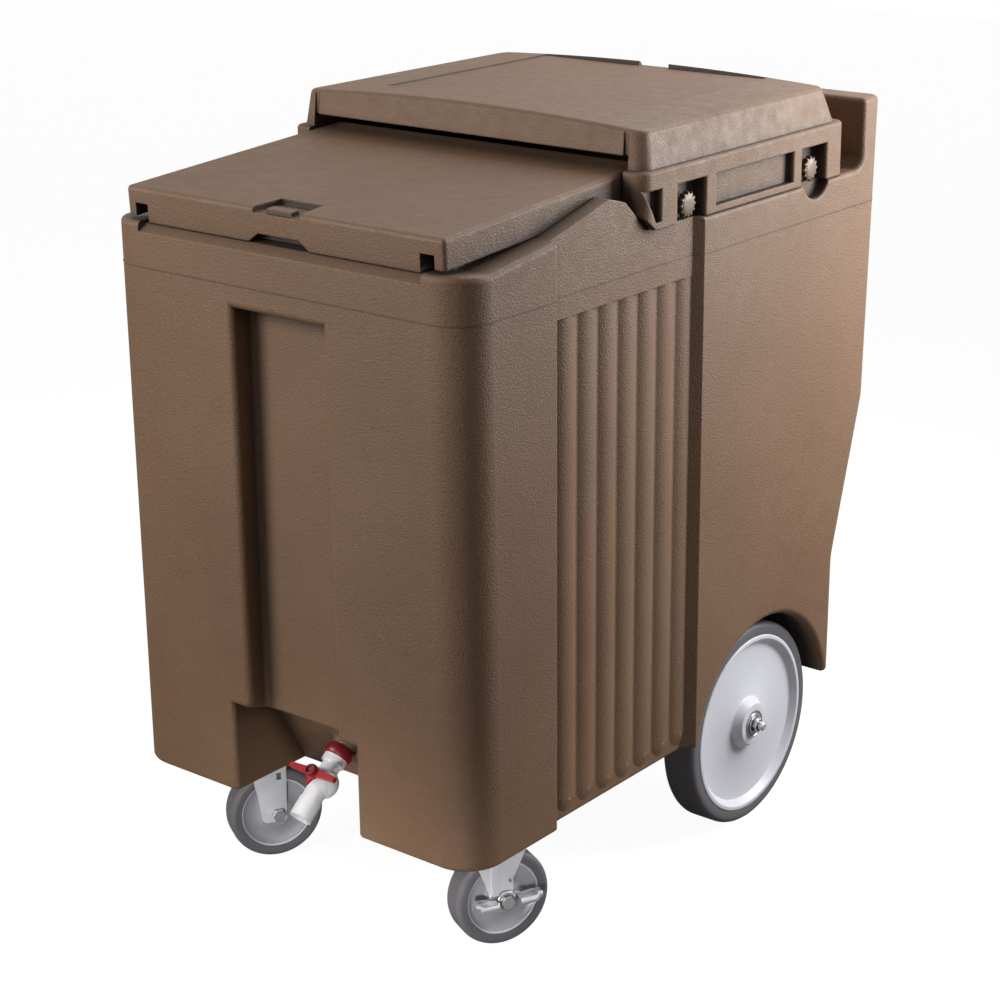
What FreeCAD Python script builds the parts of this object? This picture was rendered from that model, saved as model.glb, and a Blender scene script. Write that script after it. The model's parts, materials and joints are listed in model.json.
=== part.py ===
"""Mobile ice bin on two large rear wheels and two front swivel casters.

Millimetres, +Z up, the front faces -Y, the origin lies on the floor below the
middle of the body.
"""
import FreeCAD, Part
import math
import os
import Sketcher

from FreeCAD import Placement, Rotation, Vector

# Driving sizes in millimetres, grouped by the piece that they belong to
SIZES = {
    # Double-walled body
    "half_width": 254.0,
    "base_height": 151.0,
    "front_reach": 391.0,
    "front_lean": 6.5,
    "front_corner_radius": 45.0,
    "front_top_height": 797.0,
    "rear_corner_radius": 14.0,
    "base_edge_radius": 5.0,
    "skin": 5.0,
    "foam_clearance": 0.4,
    "foam_top_height": 772.0,
    # Side rim that rises beside the lid and drops under the hood
    "rim_front_reach": 353.0,
    "rim_front_height": 794.0,
    "rim_bend_reach": 248.0,
    "rim_bend_height": 808.0,
    "rim_peak_reach": 146.0,
    "rim_peak_height": 834.0,
    "rim_drop_reach": 118.0,
    "rim_drop_height": 826.0,
    "rim_bend_radius": 12.0,
    "rim_edge_radius": 6.0,
    "shelf_reach": 78.0,
    "shelf_height": 789.0,
    # Rear wall with its push handle
    "rear_reach": 398.0,
    "handle_height": 873.0,
    "handle_thickness": 40.0,
    "handle_root_radius": 15.0,
    "handle_edge_radius": 6.0,
    "rear_slant_top": 500.0,
    "rear_slant_reach": 384.0,
    "rear_foot_top": 303.0,
    "rear_foot_reach": 325.0,
    "rear_foot_lean": 2.0,
    "rear_bend_radius": 60.0,
    # Recessed side panel with its ribs
    "panel_front_reach": 248.0,
    "panel_rear_reach": 4.0,
    "panel_step_run": 16.0,
    "band_depth": 9.0,
    "rib_floor_depth": 13.0,
    "rib_top_height": 722.0,
    "rib_foot_height": 160.0,
    "rib_pitch": 35.9,
    "rib_width": 33.0,
    "rib_rise": 4.0,
    "rib_first_reach": 231.5,
    # Front channel and drain recess
    "channel_half_width": 65.0,
    "channel_top_height": 720.0,
    "channel_back_reach": 364.0,
    "channel_edge_radius": 8.0,
    "channel_back_radius": 6.0,
    "recess_half_width": 91.5,
    "recess_mouth_height": 260.0,
    "recess_roof_height": 243.0,
    "recess_roof_reach": 329.0,
    "recess_foot_reach": 275.6,
    "recess_edge_radius": 6.0,
    # Ice well
    "well_half_width": 186.0,
    "well_front_reach": 350.0,
    "well_rear_reach": 286.0,
    "well_step_height": 300.0,
    "well_low_half_width": 158.0,
    "well_low_front_reach": 266.0,
    "well_front_floor": 226.0,
    "well_rear_floor": 248.0,
    "well_corner_radius": 25.0,
    # Wheel arches
    "arch_radius": 141.0,
    "arch_depth": 80.0,
    "arch_edge_radius": 7.0,
    # Lid that slides on two rails
    "lid_front_reach": 390.0,
    "lid_front_height": 832.3,
    "lid_half_width": 224.0,
    "lid_length": 345.0,
    "lid_tab_depth": 32.5,
    "lid_lip_depth": 38.0,
    "lid_core_half_width": 192.5,
    "lid_tab_width": 13.0,
    "lid_edge_drop": 18.0,
    "lid_wall": 4.0,
    "lid_edge_radius": 5.0,
    "thumb_front_width": 72.0,
    "thumb_rear_width": 59.0,
    "thumb_length": 40.0,
    "thumb_depth": 6.0,
    "thumb_bar_length": 35.0,
    "thumb_bar_width": 11.0,
    "thumb_bar_height": 5.0,
    "lip_cut_width": 86.0,
    "lip_cut_top_width": 58.0,
    "lip_cut_depth": 10.0,
    "lip_cut_run": 14.0,
    "slide_clearance": 0.5,
    "side_clearance": 1.5,
    "ledge_height": 785.0,
    "ledge_back_reach": 386.0,
    "lip_bay_half_width": 200.0,
    "rail_front_reach": 358.0,
    "rail_root": 6.0,
    # Hood over the rear half
    "deck_half_width": 222.0,
    "deck_front_reach": 150.0,
    "deck_rear_reach": 300.0,
    "hood_front_reach": 97.0,
    "hood_rear_reach": 316.0,
    "hood_ledge_height": 853.5,
    "hood_ledge_width": 6.5,
    "hood_top_height": 903.0,
    "hood_shoulder_height": 895.0,
    "hood_side_lean": 6.0,
    "hood_upper_front_reach": 88.0,
    "hood_upper_rear_reach": 306.0,
    "hood_rear_lean": 18.0,
    "hood_corner_radius": 16.0,
    "hood_shoulder_radius": 6.0,
    "hood_front_lean": 4.0,
    "hood_nose_gap": 2.0,
    "hood_inner_gap": 0.7,
    "hood_wall": 10.0,
    "hood_roof": 12.0,
    "hood_face_height": 868.0,
    "hood_face_half_width": 219.0,
    "hood_groove_width": 7.0,
    "hood_groove_depth": 5.0,
    "hood_seat_gap": 0.3,
    "top_panel_half_width": 165.0,
    "top_panel_front_reach": 29.0,
    "top_panel_rear_reach": 281.0,
    "top_panel_depth": 5.5,
    "top_drain_width": 44.0,
    # Pockets in the hood's skirt
    "pocket_half_length": 26.2,
    "pocket_top_height": 833.0,
    "pocket_back_depth": 18.0,
    "knob_front_reach": 5.8,
    "knob_rear_reach": 246.6,
    "knob_height": 805.0,
    "window_front_reach": 43.3,
    "window_rear_reach": 200.2,
    "window_depth": 9.0,
    "window_foot_height": 797.0,
    "nose_pocket_rear_reach": 64.8,
    "nose_pocket_foot_reach": 74.0,
    "nose_pocket_foot_height": 797.0,
    "nose_pocket_front_reach": 94.0,
    "nose_pocket_depth": 10.0,
    "post_radius": 4.0,
    "ledge_edge_radius": 4.0,
    "scoop_radius": 29.0,
    "scoop_depth": 14.0,
    "scoop_lift": 9.0,
    "scoop_reach": 253.0,
    "scoop_edge_radius": 3.0,
    # Thumb screws
    "knob_radius": 15.0,
    "knob_thickness": 8.0,
    "knob_flute_radius": 1.6,
    "knob_neck_radius": 6.0,
    "knob_standoff": 6.0,
    "stud_radius": 3.0,
    "stud_length": 34.0,
    "insert_radius": 6.0,
    "insert_length": 20.0,
    "screw_clearance": 0.25,
    # Rear wheels
    "wheel_radius": 127.0,
    "wheel_axis_reach": 167.0,
    "wheel_face": 232.0,
    "tyre_width": 44.0,
    "tyre_thickness": 19.0,
    "tyre_step": 4.0,
    "tyre_shoulder": 8.0,
    "disc_rim_width": 12.0,
    "disc_dish": 4.0,
    "disc_web": 8.0,
    "disc_hub_radius": 21.0,
    "disc_hub_outer": 241.0,
    "disc_hub_inner": 186.0,
    "axle_radius": 8.0,
    "axle_end": 256.0,
    "axle_thread_radius": 5.5,
    "axle_chamfer": 1.5,
    "spacer_radius": 11.0,
    "axle_running_gap": 0.08,
    "washer_radius": 13.0,
    "washer_thickness": 2.0,
    "nut_across": 15.0,
    "nut_thickness": 6.0,
    "bracket_reach": 128.0,
    "bracket_width": 34.0,
    "bracket_plate": 4.0,
    "bracket_flange": 26.0,
    "bracket_screw_radius": 3.5,
    "bracket_foot": 14.0,
    "bracket_ear": 18.0,
    "bracket_head_across": 11.0,
    # Casters
    "caster_radius": 57.0,
    "caster_width": 32.0,
    "caster_tyre_thickness": 13.0,
    "caster_reach_across": 172.6,
    "caster_reach_ahead": 268.4,
    "caster_trail": 12.0,
    "caster_hub_radius": 12.0,
    "caster_guard_radius": 22.0,
    "caster_rim_step": 3.0,
    "caster_shoulder": 7.0,
    "caster_web": 14.0,
    "caster_bore_radius": 5.0,
    "plate_length": 84.0,
    "plate_width": 66.0,
    "plate_thickness": 4.0,
    "plate_corner": 6.0,
    "plate_bolt_across": 12.0,
    "plate_bolt_radius": 4.0,
    "plate_bolt_pitch_along": 62.0,
    "plate_bolt_pitch_across": 44.0,
    "race_radius": 27.0,
    "race_height": 11.0,
    "race_gap": 0.4,
    "kingpin_radius": 6.0,
    "kingpin_head_radius": 10.0,
    "kingpin_head": 4.0,
    "kingpin_nut_radius": 9.0,
    "kingpin_nut": 5.0,
    "kingpin_nut_gap": 0.4,
    "cup_height": 7.0,
    "fork_plate": 3.0,
    "fork_half_length": 37.0,
    "fork_foot_half_length": 14.0,
    "fork_rear_length": 20.0,
    "fork_foot_drop": 12.0,
    "fork_lead": 1.0,
    "fork_knee_height": 100.0,
    "fork_heel_height": 100.0,
    "fork_slot_foot": 105.0,
    "fork_side_gap": 1.2,
    "fork_slot_length": 8.0,
    "fork_slot_height": 9.0,
    "axle_bolt_head": 6.0,
    "axle_bolt_tail": 3.0,
    "axle_bolt_across": 14.0,
    # Brake lever on one caster
    "lever_plate": 2.5,
    "lever_front_length": 37.0,
    "lever_rear_length": 44.0,
    "lever_rise": 10.0,
    "lever_depth": 14.0,
    "lever_flange": 13.0,
    "lever_hub_radius": 13.0,
    # Drain valve
    "drain_mount_height": 208.0,
    "drain_bore_radius": 12.4,
    "drain_bore_length": 62.0,
    "drain_seat_radius": 19.0,
    "drain_seat_depth": 3.4,
    "drain_pipe_radius": 12.0,
    "drain_flow_radius": 9.0,
    "drain_tail_length": 50.0,
    "drain_collar_radius": 14.0,
    "drain_dome_radius": 18.0,
    "drain_dome_length": 23.4,
    "drain_collar_length": 9.0,
    "drain_neck_length": 11.0,
    "drain_neck_radius": 11.0,
    "drain_housing_length": 24.0,
    "drain_ball_radius": 10.5,
    "drain_housing_radius": 15.0,
    "drain_housing_step": 1.5,
    "drain_boss_root": 1.2,
    "drain_outlet_length": 36.0,
    "drain_outlet_step": 1.2,
    "drain_stem_radius": 4.0,
    "drain_handle_rise": 19.0,
    "drain_handle_half_length": 33.0,
    "drain_handle_width": 9.0,
    "drain_handle_thickness": 6.0,
    "drain_hub_radius": 8.0,
    "drain_screw_head": 2.0,
    "valve_clearance": 0.3,
    # General
    "overrun": 20.0,
}

# Shares and angles, which do not scale with the part
LID_RISE_SHARE = 0.0635
LID_TILT = math.degrees(math.atan(LID_RISE_SHARE))
RIB_COUNT = 7
KNOB_FLUTES = 18
LEFT_CASTER_TURN = 30.9
RIGHT_CASTER_TURN = 25.8
DRAIN_FALL = 40.0
HEX_CORNERS = 6
FILLET_SLACK_SHARE = 0.002
TOUCH_SHARE = 4e-5
RECESS_HEAD_SHARE = 0.025

# The drain's dome: shares of its length, each with a share of its radius
DOME_SHARES = ((0.0, 1.0), (0.3, 1.0), (0.65, 0.88), (0.9, 0.7), (1.0, 0.6))
OUTLET_STEP_SHARE = 0.35
BALL_FLOW_SHARE = 0.5
STEM_SEAT_SHARE = 0.6
WING_TIP_SHARE = 0.6
HUB_RISE_SHARE = 1.3
POINTER_ROOT_SHARE = 0.8
POINTER_TIP_SHARE = 2.0
POINTER_RISE_SHARE = 0.6
SCREW_HEAD_SHARE = 1.3

# How much more than the skin a leaning wall needs along Y or Z
HANDLE_WALL_SHARE = 1.4
HANDLE_TOP_SHARE = 1.6
LEAN_WALL_SHARE = 1.2
ROOF_WALL_SHARE = 0.5


class Size:
    """A length that carries its value and the sheet formula that gives it."""

    def __init__(self, value, formula):
        self.value = value
        self.formula = formula

    def __float__(self):
        return float(self.value)

    def __neg__(self):
        return Size(-self.value, f"(-{self.formula})")

    def __add__(self, other):
        return Size(self.value + number(other), f"({self.formula} + {formula(other)})")

    def __radd__(self, other):
        return Size(number(other) + self.value, f"({formula(other)} + {self.formula})")

    def __sub__(self, other):
        return Size(self.value - number(other), f"({self.formula} - {formula(other)})")

    def __mul__(self, other):
        return Size(self.value * number(other), f"({self.formula} * {formula(other)})")

    def __rmul__(self, other):
        return Size(number(other) * self.value, f"({formula(other)} * {self.formula})")

    def __truediv__(self, other):
        return Size(self.value / number(other), f"({self.formula} / {formula(other)})")


def number(item):
    """Plain value of a Size or a number."""
    return float(item)


def formula(item):
    """Sheet formula of a Size or a number."""
    if isinstance(item, Size):
        return item.formula
    return f"({float(item):.9f})"


class Sheet:
    """Driving sizes kept in a spreadsheet, read back as Size attributes."""

    def __init__(self, doc):
        self.cells = doc.addObject("Spreadsheet::Sheet", "Sizes")
        for row, (alias, value) in enumerate(SIZES.items(), start=1):
            self.cells.set(f"A{row}", alias)
            self.cells.set(f"B{row}", str(value))
            self.cells.setAlias(f"B{row}", alias)
        doc.recompute()

    def __getattr__(self, alias):
        return Size(float(self.cells.get(alias)), f"Sizes.{alias}")


doc = FreeCAD.newDocument("ice_bin")
s = Sheet(doc)
ZERO = Size(0.0, "0")
NODES = []


# Helpers that draw bound sketches and features

def bind(item, prop, size):
    """Tie one property of an object to the sheet."""
    item.setExpression(prop, formula(size))


def new_body(name):
    """An empty body with its own label."""
    body = doc.addObject("PartDesign::Body", name)
    body.Label = name
    return body


def origin_feature(body, role):
    """One origin plane or axis of a body."""
    return [item for item in body.Origin.OriginFeatures if item.Role == role][0]


def new_sketch(body, name, role, lift=ZERO):
    """A sketch on an origin plane, lifted along that plane's normal."""
    sketch = body.newObject("Sketcher::SketchObject", name)
    sketch.AttachmentSupport = (origin_feature(body, role), [""])
    sketch.MapMode = "FlatFace"
    bind(sketch, ".AttachmentOffset.Base.z", lift)
    return sketch


def pin_point(sketch, geometry, point, place, tag):
    """Hold one point of a sketch at a place given in sheet sizes."""
    across = Sketcher.Constraint("DistanceX", geometry, point, number(place[0]))
    upward = Sketcher.Constraint("DistanceY", geometry, point, number(place[1]))
    for constraint, axis, size in ((across, "u", place[0]), (upward, "v", place[1])):
        index = sketch.addConstraint(constraint)
        sketch.renameConstraint(index, f"{tag}{axis}")
        bind(sketch, f"Constraints.{tag}{axis}", size)


def draw_outline(sketch, corners, tag="p"):
    """A closed run of straight edges through corners given in sheet sizes."""
    places = [Vector(number(u), number(v), 0) for u, v in corners]
    lines = [Part.LineSegment(places[i - 1], places[i]) for i in range(len(places))]
    first = len(sketch.Geometry)
    sketch.addGeometry(lines, False)
    for i, corner in enumerate(corners):
        here = first + i
        following = first + (i + 1) % len(corners)
        sketch.addConstraint(Sketcher.Constraint("Coincident", here, 2, following, 1))
        pin_point(sketch, here, 2, corner, f"{tag}{i}")


def draw_circle(sketch, centre, radius, tag="c"):
    """A circle with its centre and radius in sheet sizes."""
    place = Vector(number(centre[0]), number(centre[1]), 0)
    index = sketch.addGeometry(Part.Circle(place, Vector(0, 0, 1), number(radius)), False)
    pin_point(sketch, index, 3, centre, tag)
    held = sketch.addConstraint(Sketcher.Constraint("Radius", index, number(radius)))
    sketch.renameConstraint(held, f"{tag}radius")
    bind(sketch, f"Constraints.{tag}radius", radius)


def draw_round_rect(sketch, low, high, radius):
    """A rectangle between two corners, with its own corners rounded."""
    turns = (
        ((high[0] - radius, low[1]), (high[0], low[1] + radius), (1, -1)),
        ((high[0], high[1] - radius), (high[0] - radius, high[1]), (1, 1)),
        ((low[0] + radius, high[1]), (low[0], high[1] - radius), (-1, 1)),
        ((low[0], low[1] + radius), (low[0] + radius, low[1]), (-1, -1)),
    )
    for i, (start, end, side) in enumerate(turns):
        first = Vector(number(start[0]), number(start[1]), 0)
        last = Vector(number(end[0]), number(end[1]), 0)
        following = turns[(i + 1) % len(turns)][0]
        onward = Vector(number(following[0]), number(following[1]), 0)
        bulge = number(radius) * (math.sqrt(2) - 1) / 2
        crest = (first + last) / 2 + Vector(side[0], side[1], 0) * bulge
        arc = sketch.addGeometry(Part.Arc(first, crest, last), False)
        line = sketch.addGeometry(Part.LineSegment(last, onward), False)
        pin_point(sketch, line, 1, end, f"s{i}")
        pin_point(sketch, line, 2, following, f"e{i}")
        curve = sketch.Geometry[arc]
        nearer = 1 if curve.StartPoint.distanceToPoint(last) < curve.EndPoint.distanceToPoint(last) else 2
        sketch.addConstraint(Sketcher.Constraint("Coincident", line, 1, arc, nearer))
        held = sketch.addConstraint(Sketcher.Constraint("Radius", arc, number(radius)))
        sketch.renameConstraint(held, f"r{i}")
        bind(sketch, f"Constraints.r{i}", radius)
    for i in range(len(turns)):
        line = i * 2 + 1
        arc = (i * 2 + 2) % (len(turns) * 2)
        curve = sketch.Geometry[arc]
        end = sketch.Geometry[line].EndPoint
        nearer = 1 if curve.StartPoint.distanceToPoint(end) < curve.EndPoint.distanceToPoint(end) else 2
        sketch.addConstraint(Sketcher.Constraint("Coincident", line, 2, arc, nearer))


def draw_bow(sketch, start, end, rise, side, tag="b"):
    """A chord closed by an arc that stands out from it by a given rise."""
    if (number(end[0]) - number(start[0])) * side[1] > (number(end[1]) - number(start[1])) * side[0]:
        start, end = end, start
    chord_u = end[0] - start[0]
    chord_v = end[1] - start[1]
    length = math.hypot(number(chord_u), number(chord_v))
    bulge = number(rise)
    radius_value = (length * length / 4 + bulge * bulge) / (2 * bulge)
    span = f"sqrt({formula(chord_u)}^2 + {formula(chord_v)}^2)"
    radius = Size(radius_value, f"(({span}^2 / 4 + {formula(rise)}^2) / (2 * {formula(rise)}))")
    first = Vector(number(start[0]), number(start[1]), 0)
    last = Vector(number(end[0]), number(end[1]), 0)
    outward = Vector(side[0], side[1], 0)
    crest = (first + last) / 2 + outward * bulge
    line = sketch.addGeometry(Part.LineSegment(last, first), False)
    arc = sketch.addGeometry(Part.Arc(first, crest, last), False)
    curve = sketch.Geometry[arc]
    starts_first = curve.StartPoint.distanceToPoint(first) < curve.StartPoint.distanceToPoint(last)
    near, far = (1, 2) if starts_first else (2, 1)
    sketch.addConstraint(Sketcher.Constraint("Coincident", line, 2, arc, near))
    sketch.addConstraint(Sketcher.Constraint("Coincident", line, 1, arc, far))
    pin_point(sketch, line, 2, start, f"{tag}s")
    pin_point(sketch, line, 1, end, f"{tag}e")
    held = sketch.addConstraint(Sketcher.Constraint("Radius", arc, radius_value))
    sketch.renameConstraint(held, f"{tag}radius")
    bind(sketch, f"Constraints.{tag}radius", radius)


def add_pad(body, sketch, name, length, middle=False, back=False):
    """Grow a sketch into a solid."""
    pad = body.newObject("PartDesign::Pad", name)
    pad.Profile = sketch
    pad.SideType = "Symmetric" if middle else "One side"
    pad.Reversed = back
    bind(pad, "Length", length)
    return finish(body, pad)


def add_pocket(body, sketch, name, length, middle=False, back=False):
    """Cut a sketch out of the solid."""
    pocket = body.newObject("PartDesign::Pocket", name)
    pocket.Profile = sketch
    pocket.SideType = "Symmetric" if middle else "One side"
    pocket.Reversed = back
    bind(pocket, "Length", length)
    return finish(body, pocket)


def finish(body, feature):
    """Recompute one feature and stop with its name where it failed."""
    body.Tip = feature
    doc.recompute()
    if "Invalid" in feature.State or "Error" in feature.State or feature.Shape.isNull():
        raise RuntimeError(f"{body.Name}.{feature.Name} failed: {feature.getStatusString()}")
    return feature


def add_mirror(body, features, name, role="YZ_Plane"):
    """Repeat features on the other side of the middle plane."""
    mirror = body.newObject("PartDesign::Mirrored", name)
    mirror.Originals = features
    mirror.MirrorPlane = (origin_feature(body, role), [""])
    return finish(body, mirror)


def find_edges(feature, accept):
    """Names of the edges whose middle and direction pass a test."""
    names = []
    for index, edge in enumerate(feature.Shape.Edges, start=1):
        if edge.Length < 1e-6:
            continue
        middle = edge.valueAt((edge.FirstParameter + edge.LastParameter) / 2)
        run = edge.Vertexes[-1].Point - edge.Vertexes[0].Point
        if accept(middle, run, edge):
            names.append(f"Edge{index}")
    return names


def add_fillet(body, feature, name, accept, radius):
    """Round the edges that pass a test."""
    names = find_edges(feature, accept)
    if not names:
        raise RuntimeError(f"{body.Name}.{name} found no edge")
    fillet = body.newObject("PartDesign::Fillet", name)
    fillet.Base = (feature, names)
    bind(fillet, "Radius", radius)
    return finish(body, fillet)


def keep(item, label):
    """Label an object as a finished sub-part."""
    item.Label = label
    NODES.append((label, item))
    return item


def near(value, target, slack=0.02):
    """True where a place lies near a target, within a share of the body's width."""
    return abs(value - number(target)) < slack * number(s.half_width)


def same(value, target):
    """True where a place lies on a target."""
    return near(value, target, TOUCH_SHARE)


def on_side(middle):
    """True for a place on the body's outer side."""
    return same(abs(middle.x), s.half_width)


def level(run):
    """True for a run that keeps its height and its distance from the front."""
    return same(run.y, ZERO) and same(run.z, ZERO)


def lid_top(reach):
    """Height of the lid's top plane at a distance ahead of the origin."""
    return s.lid_front_height + (s.lid_front_reach - reach) * LID_RISE_SHARE


def front_at(height):
    """Reach of the leaning front face at a height."""
    share = (height - s.base_height) / (s.front_top_height - s.base_height)
    return s.front_reach + s.front_lean * share


# Outer form of the double-walled body

def deck_top(reach):
    """Height of the deck that the lid's side tabs pass over."""
    return lid_top(reach) - s.lid_tab_depth - s.slide_clearance * 2


def lip_floor(reach):
    """Height of the step below the lid's main lip."""
    return lid_top(reach) - s.lid_lip_depth - s.slide_clearance * 2


def rail_top(reach):
    """Height of the rails that carry the lid."""
    return lid_top(reach) - s.lid_edge_drop - s.slide_clearance


HANDLE_INNER = s.rear_reach - s.handle_thickness
LIP_BAY = s.lip_bay_half_width
LID_BAY = s.lid_half_width + s.side_clearance
FRONT_TOP_REACH = s.front_reach + s.front_lean
ABOVE = s.handle_height + s.overrun
BAND_FACE = s.half_width - s.band_depth
RIB_FLOOR = s.half_width - s.rib_floor_depth


def hull_profile():
    """Side outline of the body from the base round the rim to the rear foot."""
    return [
        (-s.front_reach, s.base_height),
        (-FRONT_TOP_REACH, s.front_top_height),
        (-s.rim_front_reach, s.rim_front_height),
        (-s.rim_bend_reach, s.rim_bend_height),
        (-s.rim_peak_reach, s.rim_peak_height),
        (-s.rim_drop_reach, s.rim_drop_height),
        (-s.shelf_reach, s.shelf_height),
        (HANDLE_INNER, s.shelf_height),
        (HANDLE_INNER, s.handle_height),
        (s.rear_reach, s.handle_height),
        (s.rear_slant_reach, s.rear_slant_top),
        (s.rear_foot_reach, s.rear_foot_top),
        (s.rear_foot_reach - s.rear_foot_lean, s.base_height),
    ]


def at_place(middle, reach, height):
    """True where an edge's middle sits at a place of the side view."""
    return near(middle.y, reach) and near(middle.z, height)


def add_hull(body):
    """Solid block of the body with its corners and bends rounded."""
    sketch = new_sketch(body, "hull_outline", "YZ_Plane")
    corners = hull_profile()
    draw_outline(sketch, corners)
    tip = add_pad(body, sketch, "hull", s.half_width * 2, middle=True)

    def bends(places):
        return lambda middle, run, edge: level(run) and any(at_place(middle, *place) for place in places)

    def upright(low_y, high_y):
        return lambda middle, run, edge: (
            on_side(middle) and number(low_y) < middle.y < number(high_y)
            and abs(run.z) > abs(run.y) and middle.z > number(s.base_height + s.skin)
        )

    behind_handle = upright(s.rear_foot_reach - s.skin, s.rear_reach + s.skin)
    tip = add_fillet(body, tip, "rear_bends", bends(corners[10:12]), s.rear_bend_radius)
    tip = add_fillet(
        body, tip, "rear_corners",
        lambda middle, run, edge: behind_handle(middle, run, edge)
        and not (near(middle.y, HANDLE_INNER) and middle.z > number(s.shelf_height)),
        s.rear_corner_radius,
    )
    tip = add_fillet(body, tip, "rim_bends", bends(corners[2:7]), s.rim_bend_radius)
    tip = add_fillet(body, tip, "handle_root", bends(corners[7:8]), s.handle_root_radius)
    in_front = upright(-FRONT_TOP_REACH, -s.rim_front_reach)
    tip = add_fillet(body, tip, "front_corners", in_front, s.front_corner_radius)
    tip = add_fillet(
        body, tip, "rim_edges",
        lambda middle, run, edge: on_side(middle) and middle.y < 0
        and number(s.shelf_height) < middle.z < number(s.rim_peak_height) and abs(run.y) > number(s.skin),
        s.rim_edge_radius,
    )
    return add_fillet(
        body, tip, "handle_top",
        lambda middle, run, edge: near(middle.z, s.handle_height, FILLET_SLACK_SHARE)
        and same(edge.BoundBox.ZLength, ZERO),
        s.handle_edge_radius,
    )


def cut_side(body, corners, name, half_width):
    """Cut a side-view outline straight across the body."""
    sketch = new_sketch(body, f"{name}_outline", "YZ_Plane")
    draw_outline(sketch, corners)
    return add_pocket(body, sketch, name, half_width * 2, middle=True)


def add_deck(body):
    """Raised deck under the hood, and the bays that the lid runs in."""
    rear = -s.deck_rear_reach
    low = s.shelf_height - s.overrun
    sketch = new_sketch(body, "deck_outline", "YZ_Plane")
    draw_outline(sketch, [
        (-s.deck_front_reach, low),
        (-s.deck_front_reach, deck_top(s.deck_front_reach)),
        (s.deck_rear_reach, deck_top(rear)),
        (s.deck_rear_reach, low),
    ])
    add_pad(body, sketch, "deck", s.deck_half_width * 2, middle=True)
    ahead = FRONT_TOP_REACH + s.overrun
    cut_side(body, [
        (-ahead, deck_top(ahead)),
        (-s.shelf_reach, deck_top(s.shelf_reach)),
        (-s.shelf_reach, ABOVE),
        (-ahead, ABOVE),
    ], "lid_bay", LID_BAY)
    behind = s.deck_rear_reach + s.side_clearance
    return cut_side(body, [
        (-ahead, s.ledge_height),
        (-FRONT_TOP_REACH, s.ledge_height),
        (-s.ledge_back_reach, lip_floor(s.ledge_back_reach)),
        (behind, lip_floor(-behind)),
        (behind, ABOVE),
        (-ahead, ABOVE),
    ], "lip_bay", LIP_BAY)


def add_rails(body):
    """Two rails that the lid slides along."""
    rear = s.deck_rear_reach
    inner = LIP_BAY
    outer = s.lid_half_width - s.lid_tab_width - s.side_clearance
    sketch = new_sketch(body, "rail_outline", "YZ_Plane", inner)
    draw_outline(sketch, [
        (-s.rail_front_reach, lip_floor(s.rail_front_reach) - s.rail_root),
        (-s.rail_front_reach, rail_top(s.rail_front_reach)),
        (rear, rail_top(-rear)),
        (rear, lip_floor(-rear) - s.rail_root),
    ])
    rail = add_pad(body, sketch, "rail", outer - inner)
    return add_mirror(body, [rail], "rails")


def well_high(grow=ZERO):
    """Side outline of the well's wide upper part, grown on every wall."""
    return [
        (-(s.well_front_reach + grow), s.well_step_height - grow),
        (-(s.well_front_reach + grow), ABOVE),
        (s.well_rear_reach + grow, ABOVE),
        (s.well_rear_reach + grow, s.well_step_height - grow),
    ]


def well_low(grow=ZERO):
    """Side outline of the well's narrow lower part with its sloping floor."""
    return [
        (-(s.well_low_front_reach + grow), s.well_front_floor - grow),
        (-(s.well_low_front_reach + grow), s.well_step_height + s.overrun),
        (s.well_rear_reach + grow, s.well_step_height + s.overrun),
        (s.well_rear_reach + grow, s.well_rear_floor - grow),
    ]


def recess(grow=ZERO):
    """Side outline of the drain recess in the front foot of the body."""
    fall = (s.recess_mouth_height - s.recess_roof_height) / (s.front_reach - s.recess_roof_reach)
    return [
        (-(s.front_reach + s.overrun), s.recess_mouth_height + s.overrun * fall + grow),
        (-(s.recess_roof_reach - grow * ROOF_WALL_SHARE), s.recess_roof_height + grow),
        (-(s.recess_foot_reach - grow * LEAN_WALL_SHARE), s.base_height),
        (-(s.recess_foot_reach - grow * LEAN_WALL_SHARE), s.base_height - s.overrun),
        (-(s.front_reach + s.overrun), s.base_height - s.overrun),
    ]


def cut_channel(body, name, grow=ZERO):
    """Upright channel in the front that runs down into the drain recess."""
    sketch = new_sketch(body, f"{name}_outline", "XZ_Plane", s.channel_back_reach - grow)
    half = s.channel_half_width + grow
    draw_outline(sketch, [
        (-half, s.recess_roof_height),
        (half, s.recess_roof_height),
        (half, s.channel_top_height + grow),
        (-half, s.channel_top_height + grow),
    ])
    depth = FRONT_TOP_REACH - s.channel_back_reach + s.overrun
    return add_pocket(body, sketch, name, depth, back=True)


def cut_arches(body, name, grow=ZERO):
    """Round arches that the rear wheels stand in."""
    sketch = new_sketch(body, f"{name}_circle", "YZ_Plane", s.half_width - s.arch_depth - grow)
    draw_circle(sketch, (s.wheel_axis_reach, s.wheel_radius), s.arch_radius + grow)
    arch = add_pocket(body, sketch, name, s.arch_depth + s.overrun, back=True)
    return add_mirror(body, [arch], f"{name}_pair")


def drain_sketch(body, name):
    """A sketch whose level axis runs along the drain, out of the recess wall."""
    rise = s.recess_roof_height - s.drain_mount_height
    lean = (s.recess_roof_reach - s.recess_foot_reach) / (s.recess_roof_height - s.base_height)
    sketch = body.newObject("Sketcher::SketchObject", name)
    sketch.AttachmentSupport = (origin_feature(body, "YZ_Plane"), [""])
    sketch.MapMode = "FlatFace"
    sketch.AttachmentOffset = Placement(Vector(0, 0, 0), Rotation(Vector(0, 0, 1), 180 + DRAIN_FALL))
    bind(sketch, ".AttachmentOffset.Base.x", -(s.recess_roof_reach - rise * lean))
    bind(sketch, ".AttachmentOffset.Base.y", s.drain_mount_height)
    return sketch


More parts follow.
